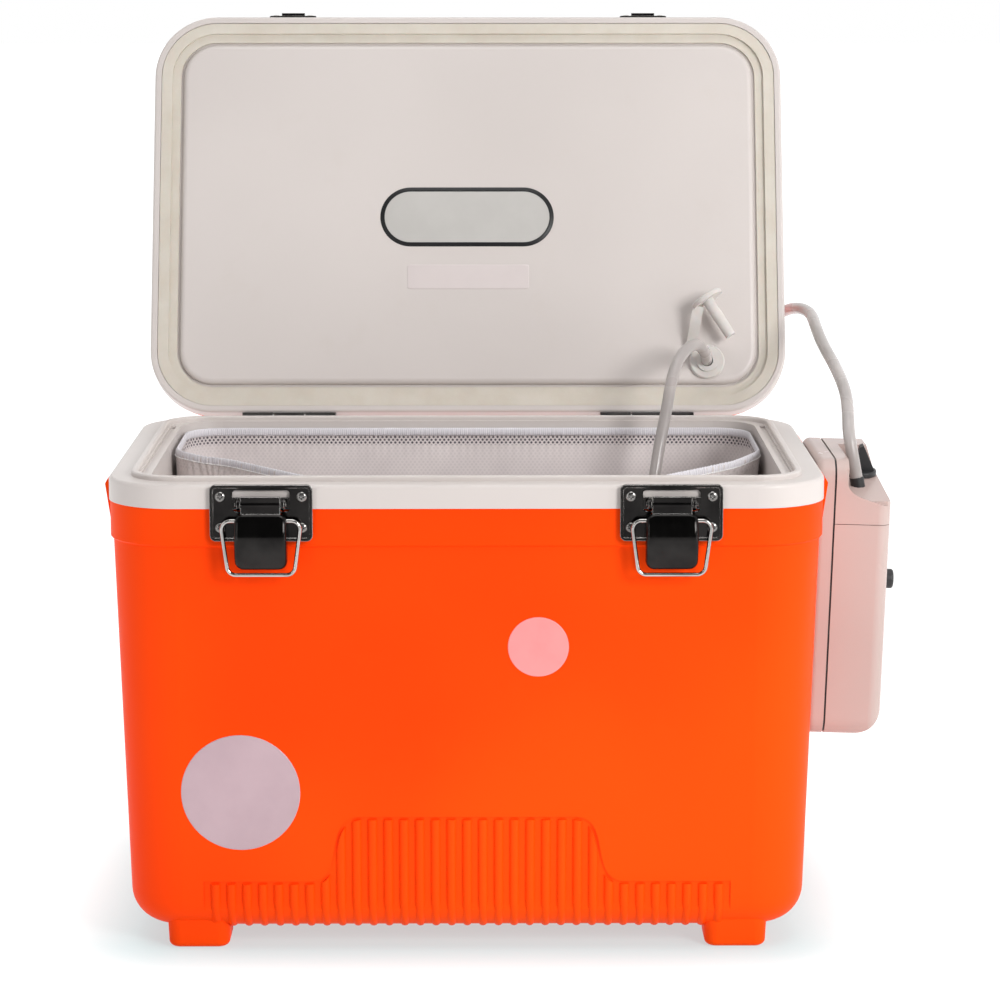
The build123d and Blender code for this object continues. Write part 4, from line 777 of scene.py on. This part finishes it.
def hose(name, points, bevel):
    data = bpy.data.curves.new(name, "CURVE")
    data.dimensions = "3D"
    data.resolution_u = 10
    data.bevel_depth = bevel
    data.bevel_resolution = 6
    line = data.splines.new("NURBS")
    line.points.add(len(points) - 1)
    for point, spot in zip(line.points, points):
        point.co = (*spot, 1.0)
    line.order_u = 3
    line.use_endpoint_u = True
    curve = placed(name + "Curve", data)
    made = bpy.data.meshes.new_from_object(curve.evaluated_get(bpy.context.evaluated_depsgraph_get()))
    bpy.data.objects.remove(curve)
    return made


vinyl = Graph("clearVinyl", Specular_IOR_Level=0.5, Coat_Weight=0.25, Coat_Roughness=0.1)
haze = vinyl.noise(40.0, 2.0, 0.4)
facing = vinyl.node("ShaderNodeLayerWeight", None, {"Blend": 0.45}, out="Facing")
vinyl.put("Base Color", vinyl.mix(vinyl.spread(haze, 0.3, 0.7), linear(188, 180, 177), linear(170, 163, 160)))
vinyl.put("Roughness", 0.28 + (haze - 0.5) * 0.15)
vinyl.put("Alpha", vinyl.spread(facing, 0.1, 0.75, 0.74, 0.96))

for name, far, pieces in (("outer", "object", []), ("inner", "fitting", ["air_stone"])):
    points = [Vector(p) for p in tube[name]]
    route = [v.co.copy() for v in hose(name + "Line", points, 0.0).vertices]
    length = sum((b - a).length for a, b in zip(route, route[1:]))
    hoseMesh = hose(name + "Hose", points, tube["radius"])
    smoothed(hoseMesh)
    hoseMesh.materials.append(vinyl.material)
    airline = placed(name + "Hose", hoseMesh)
    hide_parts("airline_" + name)
    start = route[-1] if name == "outer" else tube["tubEnd"]
    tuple(start)
    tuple(route[0])
    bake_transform(airline)
    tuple(route[0])
    2 * tube["radius"]
    print(name, "hose length", round(length, 4))

# stage and lights
floorMaterial = Graph("paleFloor", Specular_IOR_Level=0.1, Emission_Strength=1.0)
soft = floorMaterial.noise(3.0, 2.0, 0.5)
# painted shadow: the glow fades towards the box and its colour and base colour turn cyan there, painting its soft
# contact shadow and cancelling the orange bounce; the glow is also dimmer in front of the box, out of view
alongX, alongY, none = floorMaterial.parts(floorMaterial.place())
pastX = (alongX.math("ABSOLUTE") - 0.150).math("MAXIMUM", 0.0)
pastY = (alongY.math("ABSOLUTE") - 0.090).math("MAXIMUM", 0.0)
glow = floorMaterial.spread((pastX * pastX + pastY * pastY).math("SQRT"), 0.008, 0.085)
near = floorMaterial.mix(glow, (0.46, 0.56, 0.57), (0.92, 0.92, 0.92))
inFront = floorMaterial.spread(alongY, -0.95, -0.25)
floorMaterial.put("Emission Color", floorMaterial.mix(inFront, (0.58, 0.58, 0.58), near))
floorMaterial.put("Base Color", floorMaterial.mix(glow, (0.26, 0.31, 0.31), (0.31, 0.31, 0.31)))
floorMaterial.put("Roughness", 0.7 + (soft - 0.5) * 0.1)
bpy.ops.mesh.primitive_plane_add(size=30.0, location=(0, 0, -0.0002))
floor = bpy.context.object
floor.name = "floor"
floor.data.materials.append(floorMaterial.material)

# a bright studio behind and above, darker on the camera's side
sky = Sky("studio")
sideways, backwards, up = sky.parts(sky.node("ShaderNodeTexCoord", out="Generated"))
sky.put("Strength", sky.spread(backwards, -0.6, 0.2, 0.12, 1.0))
sky.put("Color", (1.0, 1.0, 1.0, 1.0))
bpy.context.scene.world = sky.world
lamps = {
    "key": {"place": (1.05, -1.35, 0.85), "aim": (0, 0, 0.22), "size": (0.6, 0.6), "power": 21.0},
    "fill": {"place": (-1.6, -1.7, 0.9), "aim": (0, 0, 0.25), "size": (1.0, 1.0), "power": 1.5},
    "top": {"place": (0.1, -0.5, 2.2), "aim": (0, 0.05, 0.25), "size": (1.2, 1.2), "power": 11.5},
    "rightStrip": {"place": (1.5, -0.75, 0.45), "aim": (0, 0, 0.25), "size": (0.12, 1.3), "power": 4.0},
    "leftStrip": {"place": (-1.0, -1.3, 0.45), "aim": (0, 0, 0.25), "size": (0.10, 1.3), "power": 2.6},
}
for name, lamp in lamps.items():
    data = bpy.data.lights.new(name, "AREA")
    data.shape = "RECTANGLE"
    data.size, data.size_y = lamp["size"]
    data.energy = lamp["power"]
    light = placed(name, data)
    light.location = lamp["place"]
    toward = Vector(lamp["aim"]) - Vector(lamp["place"])
    light.rotation_euler = toward.to_track_quat("-Z", "Y").to_euler()
bpy.context.scene.view_settings.view_transform = "Standard"
print("stage ready")
